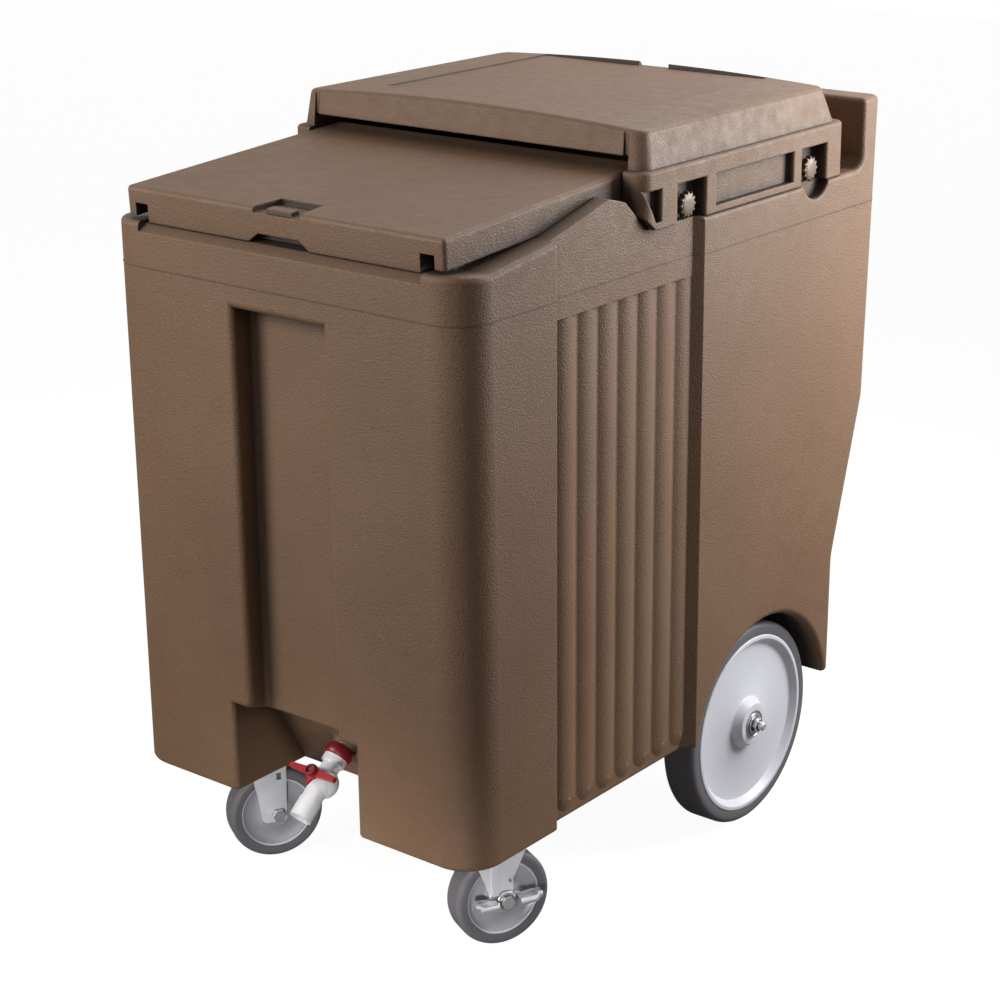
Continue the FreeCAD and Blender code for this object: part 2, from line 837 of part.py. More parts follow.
def cut_drain_bore(body, name, radius, inward):
    """Slanting bore through the recess wall, from inside to beyond its face."""
    sketch = drain_sketch(body, f"{name}_outline")
    draw_outline(sketch, [
        (-inward, ZERO),
        (s.overrun, ZERO),
        (s.overrun, radius),
        (-inward, radius),
    ])
    groove = body.newObject("PartDesign::Groove", name)
    groove.Profile = sketch
    groove.ReferenceAxis = (sketch, ["H_Axis"])
    groove.Angle = 360
    return finish(body, groove)


def cut_panels(body):
    """Sunk side panels: a plain band above and the ribs' floor below."""
    run_share = s.panel_step_run / s.rib_floor_depth
    outside = s.half_width + s.overrun
    cuts = []
    for name, face, top in (("band", BAND_FACE, ABOVE), ("rib_floor", RIB_FLOOR, s.rib_top_height)):
        sketch = new_sketch(body, f"{name}_outline", "XY_Plane", top)
        draw_outline(sketch, [
            (face, -s.panel_front_reach),
            (outside, -s.panel_front_reach),
            (outside, s.panel_rear_reach + (outside - RIB_FLOOR) * run_share),
            (face, s.panel_rear_reach + (face - RIB_FLOOR) * run_share),
        ])
        cuts.append(add_pocket(body, sketch, name, top - s.base_height + s.overrun))
    return add_mirror(body, cuts, "panels")


def add_ribs(body):
    """Shallow bowed ribs down each sunk panel, domed at their feet."""
    half = s.rib_width / 2
    centre = -(s.rib_first_reach - half)
    turn_height = s.rib_foot_height + half
    tip = None
    for side, tag in ((1.0, "right"), (-1.0, "left")):
        floor = RIB_FLOOR * side
        root = (RIB_FLOOR - s.skin / 2) * side
        crest = (RIB_FLOOR + s.rib_rise) * side
        sketch = new_sketch(body, f"rib_{tag}_section", "XY_Plane", turn_height)
        draw_bow(sketch, (floor, centre - half), (floor, centre + half), s.rib_rise, (side, 0))
        rib = add_pad(body, sketch, f"rib_{tag}", s.rib_top_height - turn_height)
        dome_sketch = new_sketch(body, f"rib_foot_{tag}_section", "XY_Plane", turn_height)
        bind(dome_sketch, ".AttachmentOffset.Base.y", centre)
        draw_dome(dome_sketch, root, floor, crest, half * side)
        dome = body.newObject("PartDesign::Revolution", f"rib_foot_{tag}")
        dome.Profile = dome_sketch
        dome.ReferenceAxis = (dome_sketch, ["H_Axis"])
        dome.Angle = 360
        finish(body, dome)
        row = body.newObject("PartDesign::LinearPattern", f"ribs_{tag}")
        row.Originals = [rib, dome]
        row.Direction = (origin_feature(body, "Y_Axis"), [""])
        row.Occurrences = RIB_COUNT
        bind(row, "Length", s.rib_pitch * (RIB_COUNT - 1))
        tip = finish(body, row)
    return tip


def draw_dome(sketch, root, floor, crest, half):
    """Half of a rib's section, ready to turn about its middle line."""
    rise = abs(number(crest) - number(floor))
    radius = (s.rib_rise * s.rib_rise + half * half) / (s.rib_rise * 2)
    side = 1 if number(crest) > number(floor) else -1
    centre_u = number(crest) - side * number(radius)
    angle = math.asin(number(half) / number(radius)) / 2
    crown = Vector(number(crest), 0, 0)
    edge = Vector(number(floor), number(half), 0)
    between = Vector(centre_u + side * number(radius) * math.cos(angle), number(radius) * math.sin(angle), 0)
    arc = sketch.addGeometry(Part.Arc(crown, between, edge), False)
    curve = sketch.Geometry[arc]
    crown_end, edge_end = (1, 2) if curve.StartPoint.distanceToPoint(crown) < rise / 2 else (2, 1)
    corners = [(floor, half), (root, half), (root, ZERO), (crest, ZERO)]
    places = [Vector(number(u), number(v), 0) for u, v in corners]
    first = len(sketch.Geometry)
    sketch.addGeometry([Part.LineSegment(places[i], places[i + 1]) for i in range(3)], False)
    sketch.addConstraint(Sketcher.Constraint("Coincident", arc, edge_end, first, 1))
    sketch.addConstraint(Sketcher.Constraint("Coincident", first, 2, first + 1, 1))
    sketch.addConstraint(Sketcher.Constraint("Coincident", first + 1, 2, first + 2, 1))
    sketch.addConstraint(Sketcher.Constraint("Coincident", first + 2, 2, arc, crown_end))
    pin_point(sketch, first, 1, corners[0], "edge")
    pin_point(sketch, first + 1, 1, corners[1], "root")
    pin_point(sketch, first + 1, 2, corners[2], "axis")
    pin_point(sketch, first + 2, 2, corners[3], "crest")
    held = sketch.addConstraint(Sketcher.Constraint("Radius", arc, number(radius)))
    sketch.renameConstraint(held, "bow")
    bind(sketch, "Constraints.bow", radius)


def soften_edges(body):
    """Round the moulded edges that show outside."""
    foremost = number(-s.front_reach) + number(s.skin) / 2

    def upright(run):
        return abs(run.z) > number(s.overrun)

    def in_front(across):
        return lambda middle, run, edge: (
            edge.BoundBox.YMax < foremost and upright(run)
            and near(abs(middle.x), across, FILLET_SLACK_SHARE)
        )

    def across_front(height, slack):
        return lambda middle, run, edge: (
            edge.BoundBox.YMax < foremost and near(middle.z, height, slack)
            and abs(run.x) > number(s.recess_edge_radius) * 2
        )

    def round_hole(reach, height, radius):
        return lambda middle, run, edge: (
            on_side(middle) and same(edge.BoundBox.XLength, ZERO)
            and near(math.hypot(middle.y - number(reach), middle.z - number(height)), radius,
                     FILLET_SLACK_SHARE)
        )

    def channel_back(middle, run, edge):
        return (near(abs(middle.x), s.channel_half_width, FILLET_SLACK_SHARE) and upright(run)
                and near(middle.y, -s.channel_back_reach, FILLET_SLACK_SHARE))

    def round_base(middle, run, edge):
        outside = (abs(middle.x) > number(RIB_FLOOR - s.skin) or edge.BoundBox.YMax < foremost
                   or middle.y > number(s.rear_foot_reach - s.base_edge_radius))
        return outside and near(edge.BoundBox.ZMax, s.base_height, FILLET_SLACK_SHARE)

    jobs = (
        ("channel_back", channel_back, s.channel_back_radius),
        ("arch_edges", round_hole(s.wheel_axis_reach, s.wheel_radius, s.arch_radius), s.arch_edge_radius),
        ("scoop_edges", round_hole(s.scoop_reach, s.shelf_height + s.scoop_lift, s.scoop_radius),
         s.scoop_edge_radius),
        ("channel_sides", in_front(s.channel_half_width), s.channel_edge_radius),
        ("channel_head", across_front(s.channel_top_height, FILLET_SLACK_SHARE), s.channel_edge_radius),
        ("recess_sides", in_front(s.recess_half_width), s.recess_edge_radius),
        ("recess_head", across_front(s.recess_mouth_height, RECESS_HEAD_SHARE), s.recess_edge_radius),
        ("base_edges", round_base, s.base_edge_radius),
    )
    for name, test, radius in jobs:
        add_fillet(body, body.Tip, name, test, radius)


def cut_scoops(body):
    """Finger scoops below the rear thumb screws."""
    sketch = new_sketch(body, "scoop_circle", "YZ_Plane", s.half_width - s.scoop_depth)
    draw_circle(sketch, (s.scoop_reach, s.shelf_height + s.scoop_lift), s.scoop_radius)
    scoop = add_pocket(body, sketch, "scoop", s.scoop_depth + s.overrun, back=True)
    return add_mirror(body, [scoop], "scoops")


def cut_insert_holes(body):
    """Holes in the deck's flanks for the threaded inserts."""
    sketch = new_sketch(body, "insert_circles", "YZ_Plane", s.deck_half_width - s.insert_length)
    for i, reach in enumerate((-s.knob_front_reach, s.knob_rear_reach)):
        draw_circle(sketch, (reach, s.knob_height), s.insert_radius + s.screw_clearance, f"c{i}")
    holes = add_pocket(body, sketch, "insert_hole", s.half_width - s.deck_half_width + s.insert_length,
                       back=True)
    return add_mirror(body, [holes], "insert_holes")


def foam_space(name, gap):
    """Space between the walls, kept a gap away from every outer and inner face."""
    body = new_body(name)
    side = RIB_FLOOR - gap
    top = s.foam_top_height - (gap - s.skin)
    rear_top = s.handle_height - gap * HANDLE_TOP_SHARE
    sketch = new_sketch(body, "space_outline", "YZ_Plane")
    draw_outline(sketch, [
        (-(s.front_reach - gap), s.base_height + gap),
        (-(front_at(top) - gap), top),
        (HANDLE_INNER + gap, top),
        (HANDLE_INNER + gap, rear_top),
        (s.rear_reach - gap * HANDLE_WALL_SHARE, rear_top),
        (s.rear_slant_reach - gap * LEAN_WALL_SHARE, s.rear_slant_top),
        (s.rear_foot_reach - gap * LEAN_WALL_SHARE, s.rear_foot_top + gap),
        (s.rear_foot_reach - s.rear_foot_lean - gap, s.base_height + gap),
    ])
    tip = add_pad(body, sketch, "space", side * 2, middle=True)
    add_fillet(
        body, tip, "space_front_corners",
        lambda middle, run, edge: near(abs(middle.x), side) and middle.y < number(-s.rim_front_reach)
        and abs(run.z) > number(s.front_corner_radius),
        s.front_corner_radius - gap,
    )
    cut_side(body, well_high(gap), "high_well", s.well_half_width + gap)
    cut_side(body, well_low(gap), "low_well", s.well_low_half_width + gap)
    cut_side(body, recess(gap), "recess", s.recess_half_width + gap)
    cut_channel(body, "channel", gap)
    cut_arches(body, "arch", gap)
    cut_drain_bore(body, "sleeve", s.drain_seat_radius + gap, s.drain_bore_length)
    return body


def cut_high_well(body):
    """Wide upper part of the ice well, with rounded corners."""
    sketch = new_sketch(body, "high_well_outline", "XY_Plane", s.well_step_height)
    draw_round_rect(sketch, (-s.well_half_width, -s.well_front_reach), (s.well_half_width, s.well_rear_reach),
                    s.well_corner_radius)
    return add_pocket(body, sketch, "high_well", ABOVE - s.well_step_height, back=True)


def well_corner(half_width, low, high):
    """Test for the upright corner edges of one part of the well."""
    return lambda middle, run, edge: (
        near(abs(middle.x), half_width, FILLET_SLACK_SHARE) and abs(run.z) > number(s.overrun)
        and same(run.y, ZERO) and number(low) < middle.z < number(high)
    )


def make_body_shell():
    """Rotation-moulded body: outer form less the space between its walls."""
    body = new_body("outer_form")
    add_hull(body)
    add_deck(body)
    add_rails(body)
    cut_high_well(body)
    tip = cut_side(body, well_low(), "low_well", s.well_low_half_width)
    add_fillet(body, tip, "low_well_corners",
               well_corner(s.well_low_half_width, s.well_front_floor, s.well_step_height),
               s.well_corner_radius)
    cut_side(body, recess(), "recess", s.recess_half_width)
    cut_channel(body, "channel")
    cut_arches(body, "arch")
    cut_panels(body)
    add_ribs(body)
    cut_scoops(body)
    soften_edges(body)
    cut_insert_holes(body)
    cut_drain_bore(body, "drain_bore", s.drain_bore_radius, s.drain_bore_length)
    cut_drain_bore(body, "drain_seat", s.drain_seat_radius, s.drain_seat_depth)
    void = foam_space("wall_space", s.skin)
    shell = doc.addObject("Part::Cut", "body_shell")
    shell.Base = body
    shell.Tool = void
    doc.recompute()
    keep(shell, "body_shell")
    keep(foam_space("foam_core", s.skin + s.foam_clearance), "foam_core")


make_body_shell()


# Helpers for the smaller pieces

def lathe(label, profile, axis="X"):
    """A turned piece from (distance along the axis, radius) corners."""
    body = new_body(label)
    sketch = new_sketch(body, "section", "XZ_Plane")
    draw_outline(sketch, profile if axis == "X" else [(radius, along) for along, radius in profile])
    turned = body.newObject("PartDesign::Revolution", "turned")
    turned.Profile = sketch
    turned.ReferenceAxis = (sketch, ["H_Axis" if axis == "X" else "V_Axis"])
    turned.Angle = 360
    finish(body, turned)
    return body, turned


def set_place(item, x, y, z, turn=None):
    """Place a finished piece by its own origin."""
    if turn is not None:
        item.Placement = Placement(Vector(0, 0, 0), turn)
    for axis, size in (("x", x), ("y", y), ("z", z)):
        bind(item, f".Placement.Base.{axis}", size)
    return item


def box_corners(low_u, high_u, low_v, high_v):
    """Four corners of an upright rectangle."""
    return [(low_u, low_v), (high_u, low_v), (high_u, high_v), (low_u, high_v)]


def hexagon(centre, across):
    """Corners of a hexagon with two sides lying level."""
    reach = across / math.sqrt(3)
    corners = []
    for i in range(HEX_CORNERS):
        angle = math.tau * i / HEX_CORNERS
        corners.append((centre[0] + reach * math.cos(angle), centre[1] + reach * math.sin(angle)))
    return corners


def round_ends(body, tip, name, along, radius, axis="X"):
    """Round the circular edges that lie at given distances along the axis."""
    def accept(middle, run, edge):
        place = middle.x if axis == "X" else middle.z
        far = max(math.hypot(v.Point.y, v.Point.z if axis == "X" else v.Point.x) for v in edge.Vertexes)
        flat = edge.BoundBox.XLength if axis == "X" else edge.BoundBox.ZLength
        widest = body.Shape.BoundBox.YLength / 2
        return same(flat, ZERO) and same(far, widest) and any(same(place, a) for a in along)
    return add_fillet(body, tip, name, accept, radius)


HALF_TURN = Rotation(Vector(0, 0, 1), 180)
NO_TURN = Rotation(Vector(0, 0, 1), 0)
SIDES = (("right", 1.0, NO_TURN), ("left", -1.0, HALF_TURN))


# Hood over the rear half of the body

def make_hood():
    """Hood with a stepped skirt, a crowned roof and pockets for its screws."""
    body = new_body("hood")
    rim_fall = (s.rim_drop_height - s.shelf_height) / (s.rim_drop_reach - s.shelf_reach)
    foot = s.shelf_height + s.hood_seat_gap
    nose_low = s.rim_drop_height - (s.rim_drop_reach - s.hood_front_reach) * rim_fall + s.hood_nose_gap
    sketch = new_sketch(body, "flange_outline", "YZ_Plane")
    draw_outline(sketch, [
        (-s.hood_front_reach, s.hood_ledge_height),
        (-s.hood_front_reach, nose_low),
        (-(s.shelf_reach - s.hood_nose_gap * 2), foot),
        (s.hood_rear_reach, foot),
        (s.hood_rear_reach, s.hood_ledge_height),
    ])
    tip = add_pad(body, sketch, "flange", s.half_width * 2, middle=True)
    tip = add_fillet(
        body, tip, "flange_corners",
        lambda middle, run, edge: on_side(middle) and same(run.y, ZERO) and abs(run.z) > number(s.skin),
        s.hood_corner_radius,
    )
    tip = add_fillet(
        body, tip, "ledge_edge",
        lambda middle, run, edge: near(edge.BoundBox.ZMin, s.hood_ledge_height, FILLET_SLACK_SHARE),
        s.ledge_edge_radius,
    )
    base_half = s.half_width - s.hood_ledge_width
    top_half = base_half - s.hood_side_lean
    sketch = new_sketch(body, "upper_outline", "XZ_Plane", -s.hood_upper_rear_reach)
    draw_outline(sketch, [
        (-base_half, s.hood_ledge_height),
        (base_half, s.hood_ledge_height),
        (top_half, s.hood_shoulder_height),
        (-top_half, s.hood_shoulder_height),
    ])
    length = s.hood_upper_rear_reach + s.hood_upper_front_reach
    add_pad(body, sketch, "upper", length)
    sketch = new_sketch(body, "crown_outline", "XZ_Plane", -s.hood_upper_rear_reach)
    draw_bow(sketch, (-top_half, s.hood_shoulder_height), (top_half, s.hood_shoulder_height),
             s.hood_top_height - s.hood_shoulder_height, (0, 1))
    add_pad(body, sketch, "crown", length)
    high = s.hood_top_height + s.overrun
    climb = (high - s.hood_ledge_height) / (s.hood_shoulder_height - s.hood_ledge_height)
    rear = s.hood_upper_rear_reach
    cut_side(body, [
        (rear, s.hood_ledge_height),
        (rear + s.overrun, s.hood_ledge_height),
        (rear + s.overrun, high),
        (rear - s.hood_rear_lean * climb, high),
    ], "rear_slant", s.half_width)
    front = -s.hood_upper_front_reach
    tip = cut_side(body, [
        (front, s.hood_ledge_height),
        (front - s.overrun, s.hood_ledge_height),
        (front - s.overrun, high),
        (front + s.hood_front_lean * climb, high),
    ], "front_slant", s.half_width)
    tip = add_fillet(
        body, tip, "upper_corners",
        lambda middle, run, edge: number(s.hood_ledge_height) < middle.z < number(s.hood_shoulder_height)
        and abs(run.z) > number(s.overrun) and abs(middle.x) > number(top_half),
        s.hood_corner_radius,
    )
    tip = add_fillet(
        body, tip, "shoulders",
        lambda middle, run, edge: middle.z > number(s.hood_shoulder_height - s.skin / 2)
        and (abs(middle.x) > number(top_half - s.overrun) or middle.y < number(front + s.skin * 2)
             or middle.y > number(rear - s.hood_rear_lean - s.skin * 2)),
        s.hood_shoulder_radius,
    )
    inner = LID_BAY + s.hood_inner_gap
    ceiling = s.hood_top_height - s.hood_roof
    cut_side(body, [
        (-s.rim_drop_reach, s.base_height),
        (-s.rim_drop_reach, s.hood_face_height),
        (front + s.hood_wall, s.hood_face_height),
        (front + s.hood_wall, ceiling),
        (rear - s.hood_rear_lean - s.hood_wall, ceiling),
        (rear, s.hood_ledge_height - s.skin),
        (rear, s.base_height),
    ], "cavity", inner)
    cut_skirt(body)
    cut_roof(body)
    keep(body, "hood")


def cut_skirt(body):
    """Pockets in the skirt, with holes for the thumb screws."""
    low = s.shelf_height - s.overrun
    sketch = new_sketch(body, "pocket_outlines", "YZ_Plane", s.half_width - s.pocket_back_depth)
    for i, centre in enumerate((-s.knob_front_reach, s.knob_rear_reach)):
        draw_outline(sketch, box_corners(centre - s.pocket_half_length, centre + s.pocket_half_length,
                                         low, s.pocket_top_height), f"p{i}x")
    deep = add_pocket(body, sketch, "pocket", s.pocket_back_depth + s.overrun, back=True)
    sketch = new_sketch(body, "nose_outline", "YZ_Plane", s.half_width - s.nose_pocket_depth)
    draw_outline(sketch, [
        (-s.nose_pocket_foot_reach, s.nose_pocket_foot_height),
        (-s.nose_pocket_rear_reach, s.nose_pocket_foot_height),
        (-s.nose_pocket_rear_reach, s.pocket_top_height),
        (-s.nose_pocket_front_reach, s.pocket_top_height),
    ])
    nose = add_pocket(body, sketch, "nose_pocket", s.nose_pocket_depth + s.overrun, back=True)
    sketch = new_sketch(body, "window_outline", "YZ_Plane", s.half_width - s.window_depth)
    draw_outline(sketch, box_corners(s.window_front_reach, s.window_rear_reach,
                                     s.window_foot_height, s.pocket_top_height))
    window = add_pocket(body, sketch, "window", s.window_depth + s.overrun, back=True)
    sketch = new_sketch(body, "screw_circles", "YZ_Plane", s.deck_half_width)
    for i, reach in enumerate((-s.knob_front_reach, s.knob_rear_reach)):
        draw_circle(sketch, (reach, s.knob_height), s.stud_radius + s.screw_clearance, f"c{i}")
    screws = add_pocket(body, sketch, "screw_hole", s.half_width - s.deck_half_width, back=True)
    tip = add_mirror(body, [deep, nose, window, screws], "skirt_pockets")
    add_fillet(
        body, tip, "posts",
        lambda middle, run, edge: on_side(middle) and abs(run.z) > number(s.skin)
        and same(run.y, ZERO) and same(edge.BoundBox.XLength, ZERO)
        and number(-s.nose_pocket_foot_reach) < middle.y < number(s.hood_rear_reach - s.overrun),
        s.post_radius,
    )


def cut_roof(body):
    """Flat panel sunk in the roof, its drain gap, and grooves beside the face."""
    floor = s.hood_top_height - s.top_panel_depth
    sketch = new_sketch(body, "panel_outline", "XY_Plane", floor)
    draw_outline(sketch, box_corners(-s.top_panel_half_width, s.top_panel_half_width,
                                     -s.top_panel_front_reach, s.top_panel_rear_reach))
    add_pocket(body, sketch, "panel", s.top_panel_depth + s.overrun, back=True)
    sketch = new_sketch(body, "gap_outline", "XY_Plane", floor)
    draw_outline(sketch, box_corners(-s.top_drain_width / 2, s.top_drain_width / 2,
                                     s.top_panel_rear_reach - s.overrun,
                                     s.top_panel_rear_reach + s.overrun * 2))
    add_pocket(body, sketch, "drain_gap", s.top_panel_depth + s.overrun, back=True)
    sketch = new_sketch(body, "groove_outline", "XZ_Plane", s.hood_upper_front_reach - s.hood_groove_depth)
    for side in (1.0, -1.0):
        start = s.hood_face_half_width * side
        end = (s.hood_face_half_width + s.hood_groove_width) * side
        draw_outline(sketch, box_corners(start, end, s.hood_face_height, s.hood_top_height + s.overrun),
                     f"g{'r' if side > 0 else 'l'}")
    add_pocket(body, sketch, "grooves", s.hood_groove_depth + s.overrun, back=True)


# Lid that slides back under the hood

def make_lid():
    """Double-walled lid on its own slanting axes, front edge at its origin."""
    body = new_body("sliding_lid")
    wide = s.lid_half_width
    inside = wide - s.lid_tab_width
    core = s.lid_core_half_width
    half = [
        (wide, ZERO), (wide, -s.lid_tab_depth), (inside, -s.lid_tab_depth),
        (inside, -s.lid_edge_drop), (core, -s.lid_edge_drop), (core, -s.lid_lip_depth),
    ]
    sketch = new_sketch(body, "section", "XZ_Plane")
    draw_outline(sketch, half + [(-u, v) for u, v in reversed(half)])
    tip = add_pad(body, sketch, "slab", s.lid_length, back=True)
    add_fillet(
        body, tip, "slab_edges",
        lambda middle, run, edge: same(middle.z, ZERO)
        or (same(middle.y, ZERO) and abs(run.z) > number(s.lid_wall) and same(abs(middle.x), wide)),
        s.lid_edge_radius,
    )
    sketch = new_sketch(body, "hollow_outline", "XZ_Plane", -(s.lip_cut_run + s.lid_wall))
    draw_outline(sketch, box_corners(-(core - s.lid_wall), core - s.lid_wall,
                                     -(s.lid_lip_depth - s.lid_wall), -(s.thumb_depth + s.lid_wall)))
    add_pocket(body, sketch, "hollow", s.lid_length - s.lip_cut_run - s.lid_wall * 2)
    sketch = new_sketch(body, "thumb_outline", "XY_Plane", -s.thumb_depth)
    draw_outline(sketch, [
        (-s.thumb_front_width / 2, -s.overrun),
        (s.thumb_front_width / 2, -s.overrun),
        (s.thumb_rear_width / 2, s.thumb_length),
        (-s.thumb_rear_width / 2, s.thumb_length),
    ])
    add_pocket(body, sketch, "thumb_recess", s.thumb_depth + s.overrun, back=True)
    sketch = new_sketch(body, "bar_outline", "XY_Plane", -s.thumb_depth)
    draw_outline(sketch, box_corners(-s.thumb_bar_length / 2, s.thumb_bar_length / 2,
                                     s.lid_edge_radius, s.lid_edge_radius + s.thumb_bar_width))
    add_pad(body, sketch, "thumb_bar", s.thumb_bar_height)
    sketch = new_sketch(body, "lip_cut_outline", "XZ_Plane")
    draw_outline(sketch, [
        (-s.lip_cut_width / 2, -(s.lid_lip_depth + s.overrun)),
        (-s.lip_cut_width / 2, -s.lid_lip_depth),
        (-s.lip_cut_top_width / 2, -(s.lid_lip_depth - s.lip_cut_depth)),
        (s.lip_cut_top_width / 2, -(s.lid_lip_depth - s.lip_cut_depth)),
        (s.lip_cut_width / 2, -s.lid_lip_depth),
        (s.lip_cut_width / 2, -(s.lid_lip_depth + s.overrun)),
    ])
    add_pocket(body, sketch, "lip_cut", s.lip_cut_run)
    set_place(body, ZERO, -s.lid_front_reach, s.lid_front_height, Rotation(Vector(1, 0, 0), LID_TILT))
    keep(body, "sliding_lid")


# Thumb screws that hold the hood, with their inserts

def make_thumb_screws():
    """Four fluted thumb screws and the threaded inserts behind them."""
    pocket_face = s.half_width - s.pocket_back_depth
    for side_name, side, turn in SIDES:
        for end_name, reach in (("front", -s.knob_front_reach), ("rear", s.knob_rear_reach)):
            label = f"thumb_screw_{end_name}_{side_name}"
            body, tip = lathe(label, [
                (-s.stud_length, ZERO),
                (-s.stud_length, s.stud_radius),
                (s.valve_clearance, s.stud_radius),
                (s.valve_clearance, s.knob_neck_radius),
                (s.knob_standoff, s.knob_neck_radius),
                (s.knob_standoff, s.knob_radius),
                (s.knob_standoff + s.knob_thickness, s.knob_radius),
                (s.knob_standoff + s.knob_thickness, ZERO),
            ])
            sketch = new_sketch(body, "flute_circle", "YZ_Plane", s.knob_standoff)
            draw_circle(sketch, (s.knob_radius + s.knob_flute_radius / 2, ZERO), s.knob_flute_radius)
            flute = add_pocket(body, sketch, "flute", s.knob_thickness, back=True)
            ring = body.newObject("PartDesign::PolarPattern", "flutes")
            ring.Originals = [flute]
            ring.Axis = (origin_feature(body, "X_Axis"), [""])
            ring.Angle = 360
            ring.Occurrences = KNOB_FLUTES
            finish(body, ring)
            set_place(body, pocket_face * side, reach, s.knob_height, turn)
            keep(body, label)
            label = f"screw_insert_{end_name}_{side_name}"
            bore = s.stud_radius + s.screw_clearance
            body, tip = lathe(label, [
                (-s.insert_length, bore),
                (-s.insert_length, s.insert_radius),
                (ZERO, s.insert_radius),
                (ZERO, bore),
            ])
            set_place(body, s.deck_half_width * side, reach, s.knob_height, turn)
            keep(body, label)


# Rear axle and wheels

def make_rear_wheels():
    """Two large wheels that run on one fixed axle."""
    axis = (s.wheel_axis_reach, s.wheel_radius)
    outer = s.wheel_face + s.tyre_step
    inner = outer - s.tyre_width
    seat = s.wheel_radius - s.tyre_thickness
    bore = s.axle_radius + s.axle_running_gap
    face = s.wheel_face - s.disc_dish
    rim = seat - s.disc_rim_width
    for side_name, side, turn in SIDES:
        body, tip = lathe(f"rear_tyre_{side_name}", [
            (inner, seat), (outer, seat), (outer, s.wheel_radius), (inner, s.wheel_radius),
        ])
        round_ends(body, tip, "shoulders", (inner, outer), s.tyre_shoulder)
        set_place(body, ZERO, *axis, turn)
        keep(body, f"rear_tyre_{side_name}")
        body, tip = lathe(f"rear_wheel_{side_name}", [
            (s.disc_hub_inner, bore),
            (s.disc_hub_outer, bore),
            (s.disc_hub_outer, s.disc_hub_radius),
            (face, s.disc_hub_radius + s.disc_dish),
            (face, rim - s.disc_dish),
            (s.wheel_face, rim),
            (s.wheel_face, seat - s.valve_clearance),
            (inner + s.disc_dish, seat - s.valve_clearance),
            (inner + s.disc_dish, rim),
            (face - s.disc_web, rim - s.disc_dish),
            (face - s.disc_web, s.disc_hub_radius + s.disc_dish),
            (s.disc_hub_inner, s.disc_hub_radius),
        ])
        set_place(body, ZERO, *axis, turn)
        keep(body, f"rear_wheel_{side_name}")
        washer = s.disc_hub_outer + s.valve_clearance
        body, tip = lathe(f"axle_washer_{side_name}", [
            (washer, s.axle_thread_radius + s.valve_clearance),
            (washer + s.washer_thickness, s.axle_thread_radius + s.valve_clearance),
            (washer + s.washer_thickness, s.washer_radius),
            (washer, s.washer_radius),
        ])
        set_place(body, ZERO, *axis, turn)
        keep(body, f"axle_washer_{side_name}")
        make_nut(f"axle_nut_{side_name}", washer + s.washer_thickness, s.nut_thickness, s.nut_across,
                 s.axle_thread_radius + s.valve_clearance, (ZERO,) + axis, turn)
        body, tip = lathe(f"axle_spacer_{side_name}", [
            (s.bracket_reach + s.bracket_width / 2 + s.valve_clearance, s.axle_radius + s.valve_clearance),
            (s.disc_hub_inner - s.valve_clearance, s.axle_radius + s.valve_clearance),
            (s.disc_hub_inner - s.valve_clearance, s.spacer_radius),
            (s.bracket_reach + s.bracket_width / 2 + s.valve_clearance, s.spacer_radius),
        ])
        set_place(body, ZERO, *axis, turn)
        keep(body, f"axle_spacer_{side_name}")
    shoulder = s.disc_hub_outer
    half = [
        (shoulder, s.axle_radius), (shoulder, s.axle_thread_radius), (s.axle_end - s.axle_chamfer,
         s.axle_thread_radius), (s.axle_end, s.axle_thread_radius - s.axle_chamfer), (s.axle_end, ZERO),
    ]
    body, tip = lathe("rear_axle", half + [(-a, r) for a, r in reversed(half)])
    set_place(body, ZERO, *axis)
    keep(body, "rear_axle")


def make_nut(label, start, thickness, across, bore, centre, turn):
    """A hexagon nut lying along the cross axis."""
    body = new_body(label)
    sketch = new_sketch(body, "section", "YZ_Plane", start)
    draw_outline(sketch, hexagon((ZERO, ZERO), across))
    draw_circle(sketch, (ZERO, ZERO), bore)
    add_pad(body, sketch, "nut", thickness)
    set_place(body, *centre, turn)
    keep(body, label)


